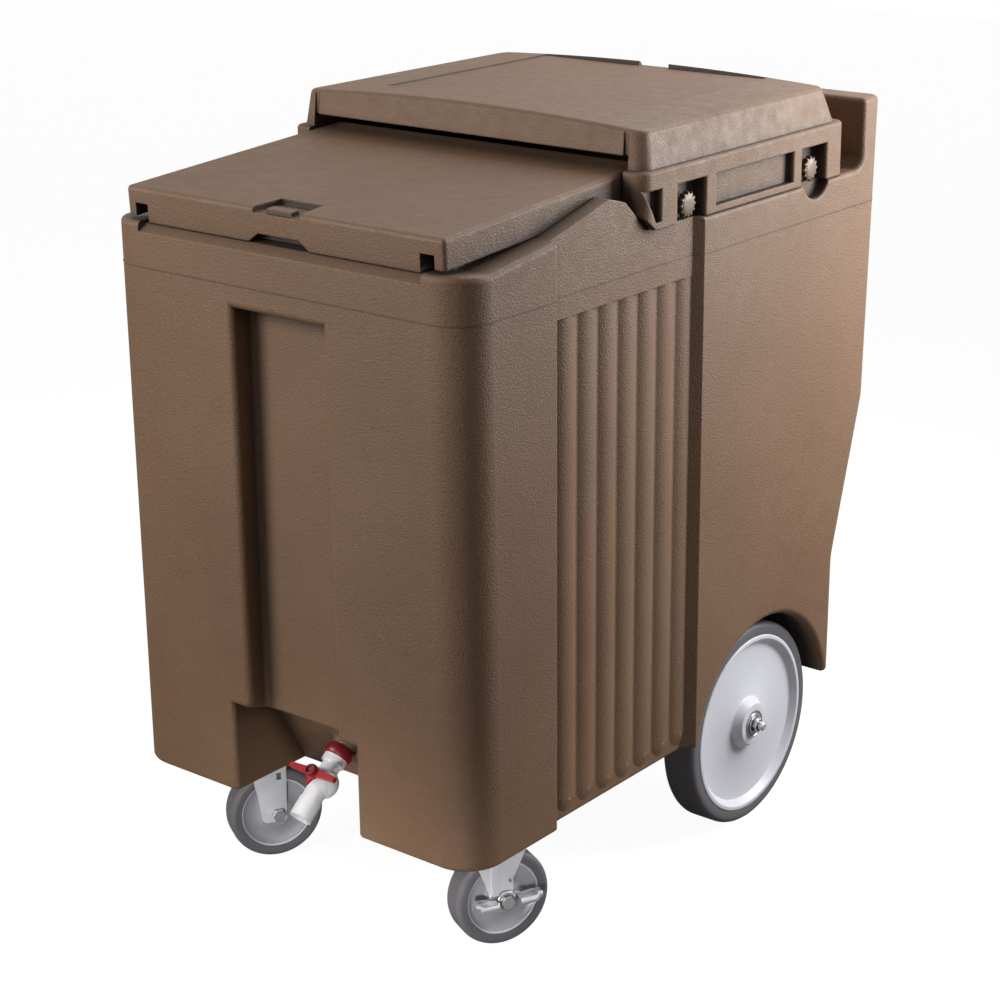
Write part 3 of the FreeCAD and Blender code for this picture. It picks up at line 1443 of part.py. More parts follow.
def make_axle_brackets():
    """Folded brackets that hang the axle below the body."""
    drop = s.base_height - s.wheel_radius
    for side_name, side, turn in SIDES:
        label = f"axle_bracket_{side_name}"
        body = new_body(label)
        sketch = new_sketch(body, "cheek_outline", "YZ_Plane")
        draw_outline(sketch, [
            (-s.bracket_flange, drop - s.valve_clearance),
            (-s.bracket_foot, -s.bracket_foot),
            (s.bracket_foot, -s.bracket_foot),
            (s.bracket_flange, drop - s.valve_clearance),
        ])
        add_pad(body, sketch, "cheeks", s.bracket_width, middle=True)
        sketch = new_sketch(body, "between_outline", "YZ_Plane")
        draw_outline(sketch, box_corners(-(s.bracket_flange + s.overrun), s.bracket_flange + s.overrun,
                                         -(s.bracket_foot + s.overrun), drop - s.bracket_plate))
        add_pocket(body, sketch, "between", s.bracket_width - s.bracket_plate * 2, middle=True)
        sketch = new_sketch(body, "plate_outline", "XY_Plane", drop - s.bracket_plate)
        length = s.bracket_flange + s.bracket_ear
        draw_outline(sketch, box_corners(-s.bracket_width / 2, s.bracket_width / 2, -length, length))
        add_pad(body, sketch, "plate", s.bracket_plate - s.valve_clearance)
        sketch = new_sketch(body, "axle_circle", "YZ_Plane")
        draw_circle(sketch, (ZERO, ZERO), s.axle_radius + s.valve_clearance)
        add_pocket(body, sketch, "axle_hole", s.bracket_width + s.overrun, middle=True)
        sketch = new_sketch(body, "screw_circles", "XY_Plane", drop)
        places = [(ZERO, (s.bracket_flange + s.bracket_ear / 2) * end) for end in (1.0, -1.0)]
        for i, place in enumerate(places):
            draw_circle(sketch, place, s.bracket_screw_radius + s.valve_clearance, f"c{i}")
        add_pocket(body, sketch, "screw_holes", s.bracket_plate * 2)
        spot = (s.bracket_reach * side, s.wheel_axis_reach, s.wheel_radius)
        set_place(body, *spot)
        keep(body, label)
        make_bolts(f"axle_bracket_screws_{side_name}", places, s.bracket_screw_radius, s.bracket_head_across,
                   drop - s.bracket_plate, s.bracket_plate - s.valve_clearance, spot)


def make_bolts(label, places, radius, across, seat, depth, spot):
    """A set of hexagon bolts whose heads hang below a plate."""
    body = new_body(label)
    heads = new_sketch(body, "head_outlines", "XY_Plane", seat)
    shanks = new_sketch(body, "shank_circles", "XY_Plane", seat)
    for i, place in enumerate(places):
        draw_outline(heads, hexagon(place, across), f"h{i}x")
        draw_circle(shanks, place, radius, f"c{i}")
    add_pad(body, heads, "heads", across / 2, back=True)
    add_pad(body, shanks, "shanks", depth)
    set_place(body, *spot)
    keep(body, label)


# Front swivel casters

def make_casters():
    """Two casters that turn about an upright pin and roll on a cross bolt."""
    turns = {"left": LEFT_CASTER_TURN, "right": RIGHT_CASTER_TURN}
    for side_name, side, _ in SIDES:
        spot = (s.caster_reach_across * side, -s.caster_reach_ahead, ZERO)
        swivel = Rotation(Vector(0, 0, 1), -turns[side_name])
        make_caster_plate(side_name, spot)
        make_caster_fork(side_name, spot, swivel)
        make_caster_wheel(side_name, spot, swivel, has_lever=side_name == "right")


PLATE_UNDER = s.base_height - s.valve_clearance - s.plate_thickness
RACE_UNDER = PLATE_UNDER - s.race_height
CUP_TOP = RACE_UNDER - s.race_gap


def make_caster_plate(side_name, spot):
    """Mounting plate with its bearing race, bolts and upright pin."""
    label = f"caster_plate_{side_name}"
    body = new_body(label)
    half_x = s.plate_width / 2
    half_y = s.plate_length / 2
    sketch = new_sketch(body, "plate_outline", "XY_Plane", PLATE_UNDER)
    draw_round_rect(sketch, (-half_x, -half_y), (half_x, half_y), s.plate_corner)
    add_pad(body, sketch, "plate", s.plate_thickness)
    sketch = new_sketch(body, "race_circle", "XY_Plane", PLATE_UNDER)
    draw_circle(sketch, (ZERO, ZERO), s.race_radius)
    add_pad(body, sketch, "race", s.race_height, back=True)
    sketch = new_sketch(body, "pin_circle", "XY_Plane", s.base_height)
    draw_circle(sketch, (ZERO, ZERO), s.kingpin_radius + s.valve_clearance)
    add_pocket(body, sketch, "pin_hole", s.plate_thickness + s.race_height + s.overrun)
    sketch = new_sketch(body, "pin_head_circle", "XY_Plane", s.base_height)
    draw_circle(sketch, (ZERO, ZERO), s.kingpin_head_radius + s.valve_clearance)
    add_pocket(body, sketch, "pin_head_hole", s.kingpin_head + s.valve_clearance * 2)
    places = [(s.plate_bolt_pitch_across / 2 * i, s.plate_bolt_pitch_along / 2 * j)
              for i in (1.0, -1.0) for j in (1.0, -1.0)]
    sketch = new_sketch(body, "bolt_circles", "XY_Plane", s.base_height)
    for i, place in enumerate(places):
        draw_circle(sketch, place, s.plate_bolt_radius + s.valve_clearance, f"c{i}")
    add_pocket(body, sketch, "bolt_holes", s.plate_thickness + s.valve_clearance + s.race_gap)
    set_place(body, *spot)
    keep(body, label)
    make_bolts(f"caster_bolts_{side_name}", places, s.plate_bolt_radius, s.plate_bolt_across,
               PLATE_UNDER, s.plate_thickness, spot)
    foot = CUP_TOP - s.cup_height - s.fork_plate - s.kingpin_nut_gap
    top = s.base_height - s.valve_clearance * 2
    pin = s.kingpin_radius - s.axle_running_gap
    body, tip = lathe(f"kingpin_{side_name}", [
        (top, ZERO),
        (top, s.kingpin_head_radius),
        (top - s.kingpin_head, s.kingpin_head_radius),
        (top - s.kingpin_head, pin),
        (foot, pin),
        (foot, s.kingpin_nut_radius),
        (foot - s.kingpin_nut, s.kingpin_nut_radius),
        (foot - s.kingpin_nut, ZERO),
    ], axis="Z")
    set_place(body, *spot)
    keep(body, f"kingpin_{side_name}")


def make_caster_fork(side_name, spot, swivel):
    """Stamped fork with tapering legs below a bearing cup."""
    label = f"caster_fork_{side_name}"
    body = new_body(label)
    cup_under = CUP_TOP - s.cup_height
    crown = cup_under - s.fork_plate
    inside = s.caster_width / 2 + s.fork_side_gap
    outside = inside + s.fork_plate
    ahead = s.caster_trail - s.fork_half_length
    behind = s.caster_trail + s.fork_rear_length
    sketch = new_sketch(body, "crown_outline", "XY_Plane", crown)
    draw_outline(sketch, box_corners(-outside, outside, ahead, behind))
    add_pad(body, sketch, "crown", s.fork_plate)
    sketch = new_sketch(body, "cup_circle", "XY_Plane", cup_under)
    draw_circle(sketch, (ZERO, ZERO), s.race_radius)
    add_pad(body, sketch, "cup", s.cup_height)
    sketch = new_sketch(body, "leg_outline", "YZ_Plane", inside)
    foot = s.caster_radius - s.fork_foot_drop
    waist = s.caster_radius + s.fork_foot_half_length
    draw_outline(sketch, [
        (ahead, crown),
        (ahead + s.fork_lead, s.fork_knee_height),
        (s.caster_trail - s.fork_foot_half_length, s.caster_radius),
        (s.caster_trail - s.fork_foot_half_length / 2, foot),
        (s.caster_trail + s.fork_foot_half_length / 2, foot),
        (s.caster_trail + s.fork_foot_half_length, s.caster_radius),
        (s.caster_trail + s.fork_foot_half_length, waist),
        (behind, s.fork_heel_height),
        (behind, crown),
    ])
    leg = add_pad(body, sketch, "leg", s.fork_plate)
    add_mirror(body, [leg], "legs")
    sketch = new_sketch(body, "axle_circle", "YZ_Plane")
    draw_circle(sketch, (s.caster_trail, s.caster_radius), s.caster_bore_radius + s.valve_clearance)
    add_pocket(body, sketch, "axle_hole", outside * 2 + s.overrun, middle=True)
    sketch = new_sketch(body, "slot_outline", "YZ_Plane")
    draw_outline(sketch, box_corners(s.caster_trail, s.caster_trail + s.fork_slot_length,
                                     s.fork_slot_foot, s.fork_slot_foot + s.fork_slot_height))
    add_pocket(body, sketch, "slot", outside * 2 + s.overrun, middle=True)
    sketch = new_sketch(body, "pin_circle", "XY_Plane", CUP_TOP + s.race_gap)
    draw_circle(sketch, (ZERO, ZERO), s.kingpin_radius)
    add_pocket(body, sketch, "pin_hole", s.cup_height + s.fork_plate + s.race_gap * 2)
    set_place(body, *spot, swivel)
    keep(body, label)


def make_caster_wheel(side_name, spot, swivel, has_lever):
    """Tyre, core, cross bolt and nut of one caster, with its brake lever."""
    middle = Placement(Vector(0, 0, 0), swivel).multVec(Vector(0, 1, 0))
    centre = (spot[0] + s.caster_trail * middle.x, spot[1] + s.caster_trail * middle.y, s.caster_radius)
    half = s.caster_width / 2
    seat = s.caster_radius - s.caster_tyre_thickness
    bore = s.caster_bore_radius + s.axle_running_gap
    body, tip = lathe(f"caster_tyre_{side_name}", [
        (-half, seat), (half, seat), (half, s.caster_radius), (-half, s.caster_radius),
    ])
    round_ends(body, tip, "shoulders", (-half, half), s.caster_shoulder)
    set_place(body, *centre, swivel)
    keep(body, f"caster_tyre_{side_name}")
    hub = half + s.fork_side_gap / 2
    web = s.caster_web / 2
    profile = [
        (hub, bore), (hub, s.caster_hub_radius), (half, s.caster_guard_radius - s.disc_web / 2),
        (half, s.caster_guard_radius), (web, s.caster_guard_radius + s.disc_web / 2),
        (web, seat - s.disc_web), (half - s.caster_rim_step, seat - s.disc_web / 2),
        (half - s.caster_rim_step, seat - s.valve_clearance),
    ]
    body, tip = lathe(f"caster_wheel_{side_name}", profile + [(-a, r) for a, r in reversed(profile)])
    set_place(body, *centre, swivel)
    keep(body, f"caster_wheel_{side_name}")
    outside = half + s.fork_side_gap + s.fork_plate + s.valve_clearance
    head = outside + (s.lever_plate + s.valve_clearance if has_lever else ZERO)
    end = -(outside + s.axle_bolt_head + s.axle_bolt_tail)
    make_axle_bolt(f"caster_axle_bolt_{side_name}", head, end, centre, swivel)
    make_nut(f"caster_axle_nut_{side_name}", -(outside + s.axle_bolt_head), s.axle_bolt_head,
             s.axle_bolt_across, s.caster_bore_radius + s.valve_clearance, centre, swivel)
    if has_lever:
        make_brake_lever(outside, centre, swivel)


def make_axle_bolt(label, head, end, centre, swivel):
    """Hexagon bolt through a caster wheel."""
    body = new_body(label)
    sketch = new_sketch(body, "head_outline", "YZ_Plane", head)
    draw_outline(sketch, hexagon((ZERO, ZERO), s.axle_bolt_across))
    add_pad(body, sketch, "head", s.axle_bolt_head)
    sketch = new_sketch(body, "shank_circle", "YZ_Plane", head)
    draw_circle(sketch, (ZERO, ZERO), s.caster_bore_radius)
    add_pad(body, sketch, "shank", head - end, back=True)
    set_place(body, *centre, swivel)
    keep(body, label)


def make_brake_lever(start, centre, swivel):
    """Two-ended stamped lever that rocks on the caster's cross bolt."""
    body = new_body("brake_lever")
    sketch = new_sketch(body, "web_outline", "YZ_Plane", start)
    draw_outline(sketch, [
        (-s.lever_front_length, s.lever_rise),
        (-s.lever_front_length, s.lever_rise - s.lever_depth),
        (-s.lever_hub_radius, -s.lever_depth / 2),
        (s.lever_hub_radius, -s.lever_depth / 2),
        (s.lever_rear_length, s.lever_rise - s.lever_depth),
        (s.lever_rear_length, s.lever_rise),
        (s.lever_hub_radius, s.lever_hub_radius),
        (-s.lever_hub_radius, s.lever_hub_radius),
    ])
    add_pad(body, sketch, "web", s.lever_plate)
    sketch = new_sketch(body, "hub_circle", "YZ_Plane", start)
    draw_circle(sketch, (ZERO, ZERO), s.lever_hub_radius)
    add_pad(body, sketch, "hub", s.lever_plate)
    for name, low, high in (("front_pedal", -s.lever_front_length, -s.lever_hub_radius - s.lever_depth / 2),
                            ("rear_pedal", s.lever_hub_radius + s.lever_depth / 2, s.lever_rear_length)):
        sketch = new_sketch(body, f"{name}_outline", "XY_Plane", s.lever_rise)
        draw_outline(sketch, box_corners(start, start + s.lever_flange, low, high))
        add_pad(body, sketch, name, s.lever_plate, back=True)
    sketch = new_sketch(body, "bore_circle", "YZ_Plane", start)
    draw_circle(sketch, (ZERO, ZERO), s.caster_bore_radius + s.axle_running_gap)
    add_pocket(body, sketch, "bore", s.lever_plate, back=True)
    set_place(body, *centre, swivel)
    keep(body, "brake_lever")


# Drain valve in the front recess, on its own axes with X along the flow

def drain_place(body):
    """Stand a drain piece on the slanting wall of the recess."""
    fall = math.radians(DRAIN_FALL)
    flow = Vector(0, -math.cos(fall), -math.sin(fall))
    upright = Vector(0, -math.sin(fall), math.cos(fall))
    rise = s.recess_roof_height - s.drain_mount_height
    lean = (s.recess_roof_reach - s.recess_foot_reach) / (s.recess_roof_height - s.base_height)
    turn = Rotation(flow, upright.cross(flow), upright, "XZY")
    reach = s.recess_roof_reach - rise * lean - s.drain_seat_depth * math.cos(fall)
    return set_place(body, ZERO, -reach, s.drain_mount_height + s.drain_seat_depth * math.sin(fall), turn)


def make_drain():
    """Coupling, neck, ball valve and outlet of the drain."""
    bore = s.drain_flow_radius
    gap = s.valve_clearance
    dome_end = s.drain_dome_length
    neck_end = dome_end + s.drain_collar_length + s.drain_neck_length
    house_end = neck_end + s.drain_housing_length
    ball_at = (neck_end + house_end) / 2
    body, tip = lathe("drain_coupling", [
        (-s.drain_tail_length, bore),
        (-s.drain_tail_length, s.drain_pipe_radius),
        (gap, s.drain_pipe_radius),
        *[(gap + (dome_end - gap) * along, s.drain_dome_radius * out) for along, out in DOME_SHARES],
        (dome_end, bore),
    ])
    keep(drain_place(body), "drain_coupling")
    body, tip = lathe("drain_neck", [
        (dome_end + gap, bore),
        (dome_end + gap, s.drain_collar_radius),
        (dome_end + s.drain_collar_length, s.drain_collar_radius),
        (dome_end + s.drain_collar_length, s.drain_neck_radius),
        (neck_end, s.drain_neck_radius),
        (neck_end, bore),
    ])
    keep(drain_place(body), "drain_neck")
    room = s.drain_ball_radius + gap
    body, tip = lathe("valve_housing", [
        (neck_end + gap, room),
        (neck_end + gap, s.drain_housing_radius - s.drain_housing_step),
        (ball_at - room / 2, s.drain_housing_radius),
        (ball_at + room / 2, s.drain_housing_radius),
        (house_end, s.drain_housing_radius - s.drain_housing_step),
        (house_end, room),
    ])
    boss_root = room + s.drain_boss_root
    sketch = new_sketch(body, "boss_circle", "XY_Plane", boss_root)
    draw_circle(sketch, (ball_at, ZERO), s.drain_hub_radius)
    add_pad(body, sketch, "boss", s.drain_handle_rise - gap - boss_root)
    sketch = new_sketch(body, "stem_circle", "XY_Plane", ZERO)
    draw_circle(sketch, (ball_at, ZERO), s.drain_stem_radius + s.axle_running_gap)
    add_pocket(body, sketch, "stem_hole", s.drain_handle_rise + s.overrun, back=True)
    keep(drain_place(body), "valve_housing")
    start = house_end + gap
    end = start + s.drain_outlet_length
    step = start + s.drain_outlet_length * OUTLET_STEP_SHARE
    body, tip = lathe("drain_outlet", [
        (start, bore),
        (start, s.drain_pipe_radius),
        (step, s.drain_pipe_radius),
        (step, s.drain_pipe_radius + s.drain_outlet_step),
        (end, s.drain_pipe_radius + s.drain_outlet_step),
        (end, bore),
    ])
    keep(drain_place(body), "drain_outlet")
    make_valve_ball(ball_at)
    make_valve_handle(ball_at)


def make_valve_ball(ball_at):
    """Bored ball with the stem that carries the handle."""
    body = new_body("valve_ball")
    radius = s.drain_ball_radius
    ball = body.newObject("PartDesign::AdditiveSphere", "ball")
    bind(ball, "Radius", radius)
    bind(ball, ".Placement.Base.x", ball_at)
    finish(body, ball)
    sketch = new_sketch(body, "stem_circle", "XY_Plane", radius * STEM_SEAT_SHARE)
    draw_circle(sketch, (ball_at, ZERO), s.drain_stem_radius)
    add_pad(body, sketch, "stem", s.drain_handle_rise + s.drain_handle_thickness - radius * STEM_SEAT_SHARE)
    sketch = new_sketch(body, "flow_circle", "YZ_Plane")
    draw_circle(sketch, (ZERO, ZERO), radius * BALL_FLOW_SHARE)
    add_pocket(body, sketch, "flow", ball_at + radius + s.overrun, back=True)
    keep(drain_place(body), "valve_ball")


def make_valve_handle(ball_at):
    """Two-winged handle with a pointer, and the screw that holds it."""
    body = new_body("valve_handle")
    base = s.drain_handle_rise
    sketch = new_sketch(body, "wing_outline", "XY_Plane", base)
    half = s.drain_handle_half_length
    wide = s.drain_handle_width / 2
    draw_outline(sketch, [
        (ball_at - wide * WING_TIP_SHARE, -half),
        (ball_at + wide * WING_TIP_SHARE, -half),
        (ball_at + wide, ZERO),
        (ball_at + wide * WING_TIP_SHARE, half),
        (ball_at - wide * WING_TIP_SHARE, half),
        (ball_at - wide, ZERO),
    ])
    add_pad(body, sketch, "wings", s.drain_handle_thickness)
    sketch = new_sketch(body, "hub_circle", "XY_Plane", base)
    draw_circle(sketch, (ball_at, ZERO), s.drain_hub_radius)
    add_pad(body, sketch, "hub", s.drain_handle_thickness * HUB_RISE_SHARE)
    sketch = new_sketch(body, "pointer_outline", "XY_Plane", base)
    draw_outline(sketch, [
        (ball_at, -s.drain_hub_radius * POINTER_ROOT_SHARE),
        (ball_at + s.drain_hub_radius * POINTER_TIP_SHARE, ZERO),
        (ball_at, s.drain_hub_radius * POINTER_ROOT_SHARE),
    ])
    add_pad(body, sketch, "pointer", s.drain_handle_thickness * POINTER_RISE_SHARE)
    sketch = new_sketch(body, "stem_circle", "XY_Plane", base)
    draw_circle(sketch, (ball_at, ZERO), s.drain_stem_radius + s.axle_running_gap)
    add_pocket(body, sketch, "stem_hole", s.drain_handle_thickness * 2, back=True)
    keep(drain_place(body), "valve_handle")
    body = new_body("handle_screw")
    top = base + s.drain_handle_thickness * HUB_RISE_SHARE + s.valve_clearance
    sketch = new_sketch(body, "head_circle", "XY_Plane", top)
    draw_circle(sketch, (ball_at, ZERO), s.drain_stem_radius * SCREW_HEAD_SHARE)
    add_pad(body, sketch, "head", s.drain_screw_head)
    keep(drain_place(body), "handle_screw")


make_hood()
make_lid()
make_thumb_screws()
make_rear_wheels()
make_axle_brackets()
make_casters()
make_drain()


# Check every object, then write one file for each sub-part

def write_parts():
    """Stop on anything broken, then export the finished sub-parts."""
    doc.recompute()
    for item in doc.Objects:
        if "Invalid" in item.State or "Error" in item.State:
            raise RuntimeError(f"{item.Name} is broken: {item.State}")
    os.makedirs("parts", exist_ok=True)
    for label, item in NODES:
        shape = item.Shape
        if shape.isNull() or not shape.isValid():
            raise RuntimeError(f"{label} is not a valid shape")
        shape.exportStep(f"parts/{label}.step")
        box = shape.BoundBox
        print(f"{label}: volume {shape.Volume:.0f}, box {box.XMin:.1f} {box.YMin:.1f} {box.ZMin:.1f}"
              f" {box.XMax:.1f} {box.YMax:.1f} {box.ZMax:.1f}, solids {len(shape.Solids)}")


write_parts()
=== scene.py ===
import json
import logging
import math
from dataclasses import dataclass, field
from enum import Enum
from typing import Callable, Sequence

import bpy
from mathutils import Matrix, Vector

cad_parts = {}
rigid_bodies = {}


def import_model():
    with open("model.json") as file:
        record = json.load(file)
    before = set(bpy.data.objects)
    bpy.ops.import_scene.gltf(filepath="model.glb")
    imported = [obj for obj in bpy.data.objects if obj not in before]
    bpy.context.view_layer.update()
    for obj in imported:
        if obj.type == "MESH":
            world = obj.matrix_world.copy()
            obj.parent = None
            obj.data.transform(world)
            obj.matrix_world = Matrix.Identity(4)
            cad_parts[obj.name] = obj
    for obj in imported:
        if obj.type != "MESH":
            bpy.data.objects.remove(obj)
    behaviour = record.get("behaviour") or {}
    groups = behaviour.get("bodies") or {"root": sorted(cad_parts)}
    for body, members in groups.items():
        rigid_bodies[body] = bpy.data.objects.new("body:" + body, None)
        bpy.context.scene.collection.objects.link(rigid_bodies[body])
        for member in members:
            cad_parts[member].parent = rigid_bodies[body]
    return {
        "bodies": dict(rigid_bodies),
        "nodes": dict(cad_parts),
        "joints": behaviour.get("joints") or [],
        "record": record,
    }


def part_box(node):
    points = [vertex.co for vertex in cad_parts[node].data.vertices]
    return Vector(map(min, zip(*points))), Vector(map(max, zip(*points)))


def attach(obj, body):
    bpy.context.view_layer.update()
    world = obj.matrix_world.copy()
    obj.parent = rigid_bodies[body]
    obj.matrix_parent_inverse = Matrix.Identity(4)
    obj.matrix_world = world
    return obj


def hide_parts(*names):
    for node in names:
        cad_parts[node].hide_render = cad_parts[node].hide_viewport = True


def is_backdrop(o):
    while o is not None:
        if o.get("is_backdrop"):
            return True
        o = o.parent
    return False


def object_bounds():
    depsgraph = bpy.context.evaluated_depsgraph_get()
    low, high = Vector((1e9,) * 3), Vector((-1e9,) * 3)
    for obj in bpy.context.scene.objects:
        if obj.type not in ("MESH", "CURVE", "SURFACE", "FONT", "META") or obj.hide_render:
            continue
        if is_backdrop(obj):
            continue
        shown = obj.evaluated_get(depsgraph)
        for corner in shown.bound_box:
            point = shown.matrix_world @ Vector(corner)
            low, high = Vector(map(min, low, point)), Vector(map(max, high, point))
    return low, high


LOG = logging.getLogger("ice_bin")
MM = 0.001
Colour = tuple[float, float, float]
Point = tuple[float, float, float]


class Slot(Enum):
    """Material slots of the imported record."""

    BROWN = "brown_shell"
    FOAM = "foam"
    TYRE = "grey_tyre"
    DISC = "white_disc"
    CORE = "grey_core"
    KNOB = "knob_plastic"
    BRASS = "brass"
    RED = "red_plastic"
    WHITE = "white_plastic"
    ZINC = "zinc_plate"
    STEEL = "bright_steel"


def srgb(red: int, green: int, blue: int) -> Colour:
    """Turn a display colour into the linear colour that a shader takes.

    Args:
        red: Red from 0 to 255.
        green: Green from 0 to 255.
        blue: Blue from 0 to 255.

    Returns:
        The linear colour.
    """
    def channel(value: int) -> float:
        """Turn one channel."""
        share = value / 255
        return share / 12.92 if share <= 0.04045 else ((share + 0.055) / 1.055) ** 2.4

    return channel(red), channel(green), channel(blue)


class Graph:
    """A material's node tree, with short calls to add and join nodes."""

    def __init__(self, name: str) -> None:
        """Start an empty material.

        Args:
            name: The material's name.
        """
        self.material = bpy.data.materials.new(name)
        self.material.use_nodes = True
        self.tree = self.material.node_tree
        self.tree.nodes.clear()
        self.output = self.add("ShaderNodeOutputMaterial")
        self.coords = self.add("ShaderNodeTexCoord").outputs["Object"]

    def add(self, kind: str, **values: object) -> bpy.types.Node:
        """Add one node and set its properties.

        Args:
            kind: Blender's name of the node type.
            values: Properties of the node.

        Returns:
            The new node.
        """
        node = self.tree.nodes.new(kind)
        for key, value in values.items():
            setattr(node, key, value)
        return node

    def join(self, source: bpy.types.NodeSocket, target: bpy.types.NodeSocket) -> None:
        """Link two sockets.

        Args:
            source: The socket that gives the value.
            target: The socket that takes it.
        """
        self.tree.links.new(source, target)

    def noise(self, scale: float, detail: float = 2.0, roughness: float = 0.5,
              stretch: Point = (1.0, 1.0, 1.0)) -> bpy.types.NodeSocket:
        """Add a noise pattern on the object's own coordinates.

        Args:
            scale: Pattern cells in a metre.
            detail: Octaves of finer noise.
            roughness: Weight of the finer octaves.
            stretch: Scale along each axis.

        Returns:
            The pattern's value socket.
        """
        mapping = self.add("ShaderNodeMapping")
        mapping.inputs["Scale"].default_value = stretch
        self.join(self.coords, mapping.inputs["Vector"])
        noise = self.add("ShaderNodeTexNoise")
        noise.inputs["Scale"].default_value = scale
        noise.inputs["Detail"].default_value = detail
        noise.inputs["Roughness"].default_value = roughness
        self.join(mapping.outputs["Vector"], noise.inputs["Vector"])
        return noise.outputs["Fac"]

    def cells(self, scale: float, feature: str = "F1") -> bpy.types.NodeSocket:
        """Add a cell pattern on the object's own coordinates.

        Args:
            scale: Pattern cells in a metre.
            feature: Which distance the pattern shows.

        Returns:
            The pattern's distance socket.
        """
        cells = self.add("ShaderNodeTexVoronoi", feature=feature)
        cells.inputs["Scale"].default_value = scale
        self.join(self.coords, cells.inputs["Vector"])
        return cells.outputs["Distance"]

    def remap(self, source: bpy.types.NodeSocket, low: float, high: float,
              start: float = 0.0, end: float = 1.0) -> bpy.types.NodeSocket:
        """Spread a range of values over another range.

        Args:
            source: The value to spread.
            low: Lowest value of the old range.
            high: Highest value of the old range.
            start: Result at the lowest value.
            end: Result at the highest value.

        Returns:
            The result socket.
        """
        node = self.add("ShaderNodeMapRange")
        self.join(source, node.inputs["Value"])
        for key, value in (("From Min", low), ("From Max", high), ("To Min", start), ("To Max", end)):
            node.inputs[key].default_value = value
        return node.outputs["Result"]

    def blend(self, factor: bpy.types.NodeSocket, first: Colour, second: Colour) -> bpy.types.NodeSocket:
        """Blend two colours by a factor.

        Args:
            factor: Share of the second colour.
            first: Colour at factor 0.
            second: Colour at factor 1.

        Returns:
            The colour socket.
        """
        mix = self.add("ShaderNodeMix", data_type="RGBA")
        self.join(factor, mix.inputs["Factor"])
        mix.inputs["A"].default_value = (*first, 1.0)
        mix.inputs["B"].default_value = (*second, 1.0)
        return mix.outputs["Result"]

    def darken(self, colour: bpy.types.NodeSocket, factor: bpy.types.NodeSocket,
               shade: Colour) -> bpy.types.NodeSocket:
        """Lay a second colour over a first where a factor is high.

        Args:
            colour: The colour below.
            factor: Share of the colour above.
            shade: The colour above.

        Returns:
            The colour socket.
        """
        mix = self.add("ShaderNodeMix", data_type="RGBA")
        self.join(factor, mix.inputs["Factor"])
        self.join(colour, mix.inputs["A"])
        mix.inputs["B"].default_value = (*shade, 1.0)
        return mix.outputs["Result"]

    def crease(self, reach: float, depth: float) -> bpy.types.NodeSocket:
        """Add the share of shade that gathers in creases and pockets.

        Args:
            reach: How far a neighbouring wall counts, in metres.
            depth: Share of shade in the deepest crease.

        Returns:
            The share's value socket.
        """
        node = self.add("ShaderNodeAmbientOcclusion", samples=8)
        node.inputs["Distance"].default_value = reach
        half_open, fully_open = 0.5, 1.0
        return self.remap(node.outputs["AO"], half_open, fully_open, depth, 0.0)

    def tinted(self, shade: bpy.types.NodeSocket,
               finish: "SatinPlastic | PlatedMetal") -> bpy.types.NodeSocket:
        """Mix a finish's two tones and paint shade into its creases.

        Args:
            shade: Share of the second tone.
            finish: The finish with the tones and the crease's reach and shade.

        Returns:
            The colour socket.
        """
        colour = self.blend(shade, finish.colour, finish.tint)
        if finish.crease_shade > 0.0:
            # Painted shade in the creases, where the finish asks for it.
            return self.darken(colour, self.crease(finish.crease_reach, finish.crease_shade), finish.painted_shade_colour)
        return colour

    def bump(self, height: bpy.types.NodeSocket, distance: float, strength: float,
             below: bpy.types.NodeSocket | None = None) -> bpy.types.NodeSocket:
        """Raise the surface by a height pattern.

        Args:
            height: The height pattern.
            distance: Height in metres of a full step.
            strength: Share of the effect.
            below: Normal socket of a bump to lay this one on.

        Returns:
            The normal socket.
        """
        node = self.add("ShaderNodeBump")
        node.inputs["Distance"].default_value = distance
        node.inputs["Strength"].default_value = strength
        self.join(height, node.inputs["Height"])
        if below is not None:
            self.join(below, node.inputs["Normal"])
        return node.outputs["Normal"]

    def surface(self, metallic: float = 0.0, **sockets: float) -> bpy.types.Node:
        """Add the surface shader and join it to the output.

        Args:
            metallic: 1 for bare metal, 0 for the rest.
            sockets: Constant values by socket name, with _ for a space.

        Returns:
            The shader node.
        """
        shader = self.add("ShaderNodeBsdfPrincipled")
        shader.inputs["Metallic"].default_value = metallic
        for key, value in sockets.items():
            shader.inputs[key.replace("_", " ")].default_value = value
        self.join(shader.outputs["BSDF"], self.output.inputs["Surface"])
        return shader


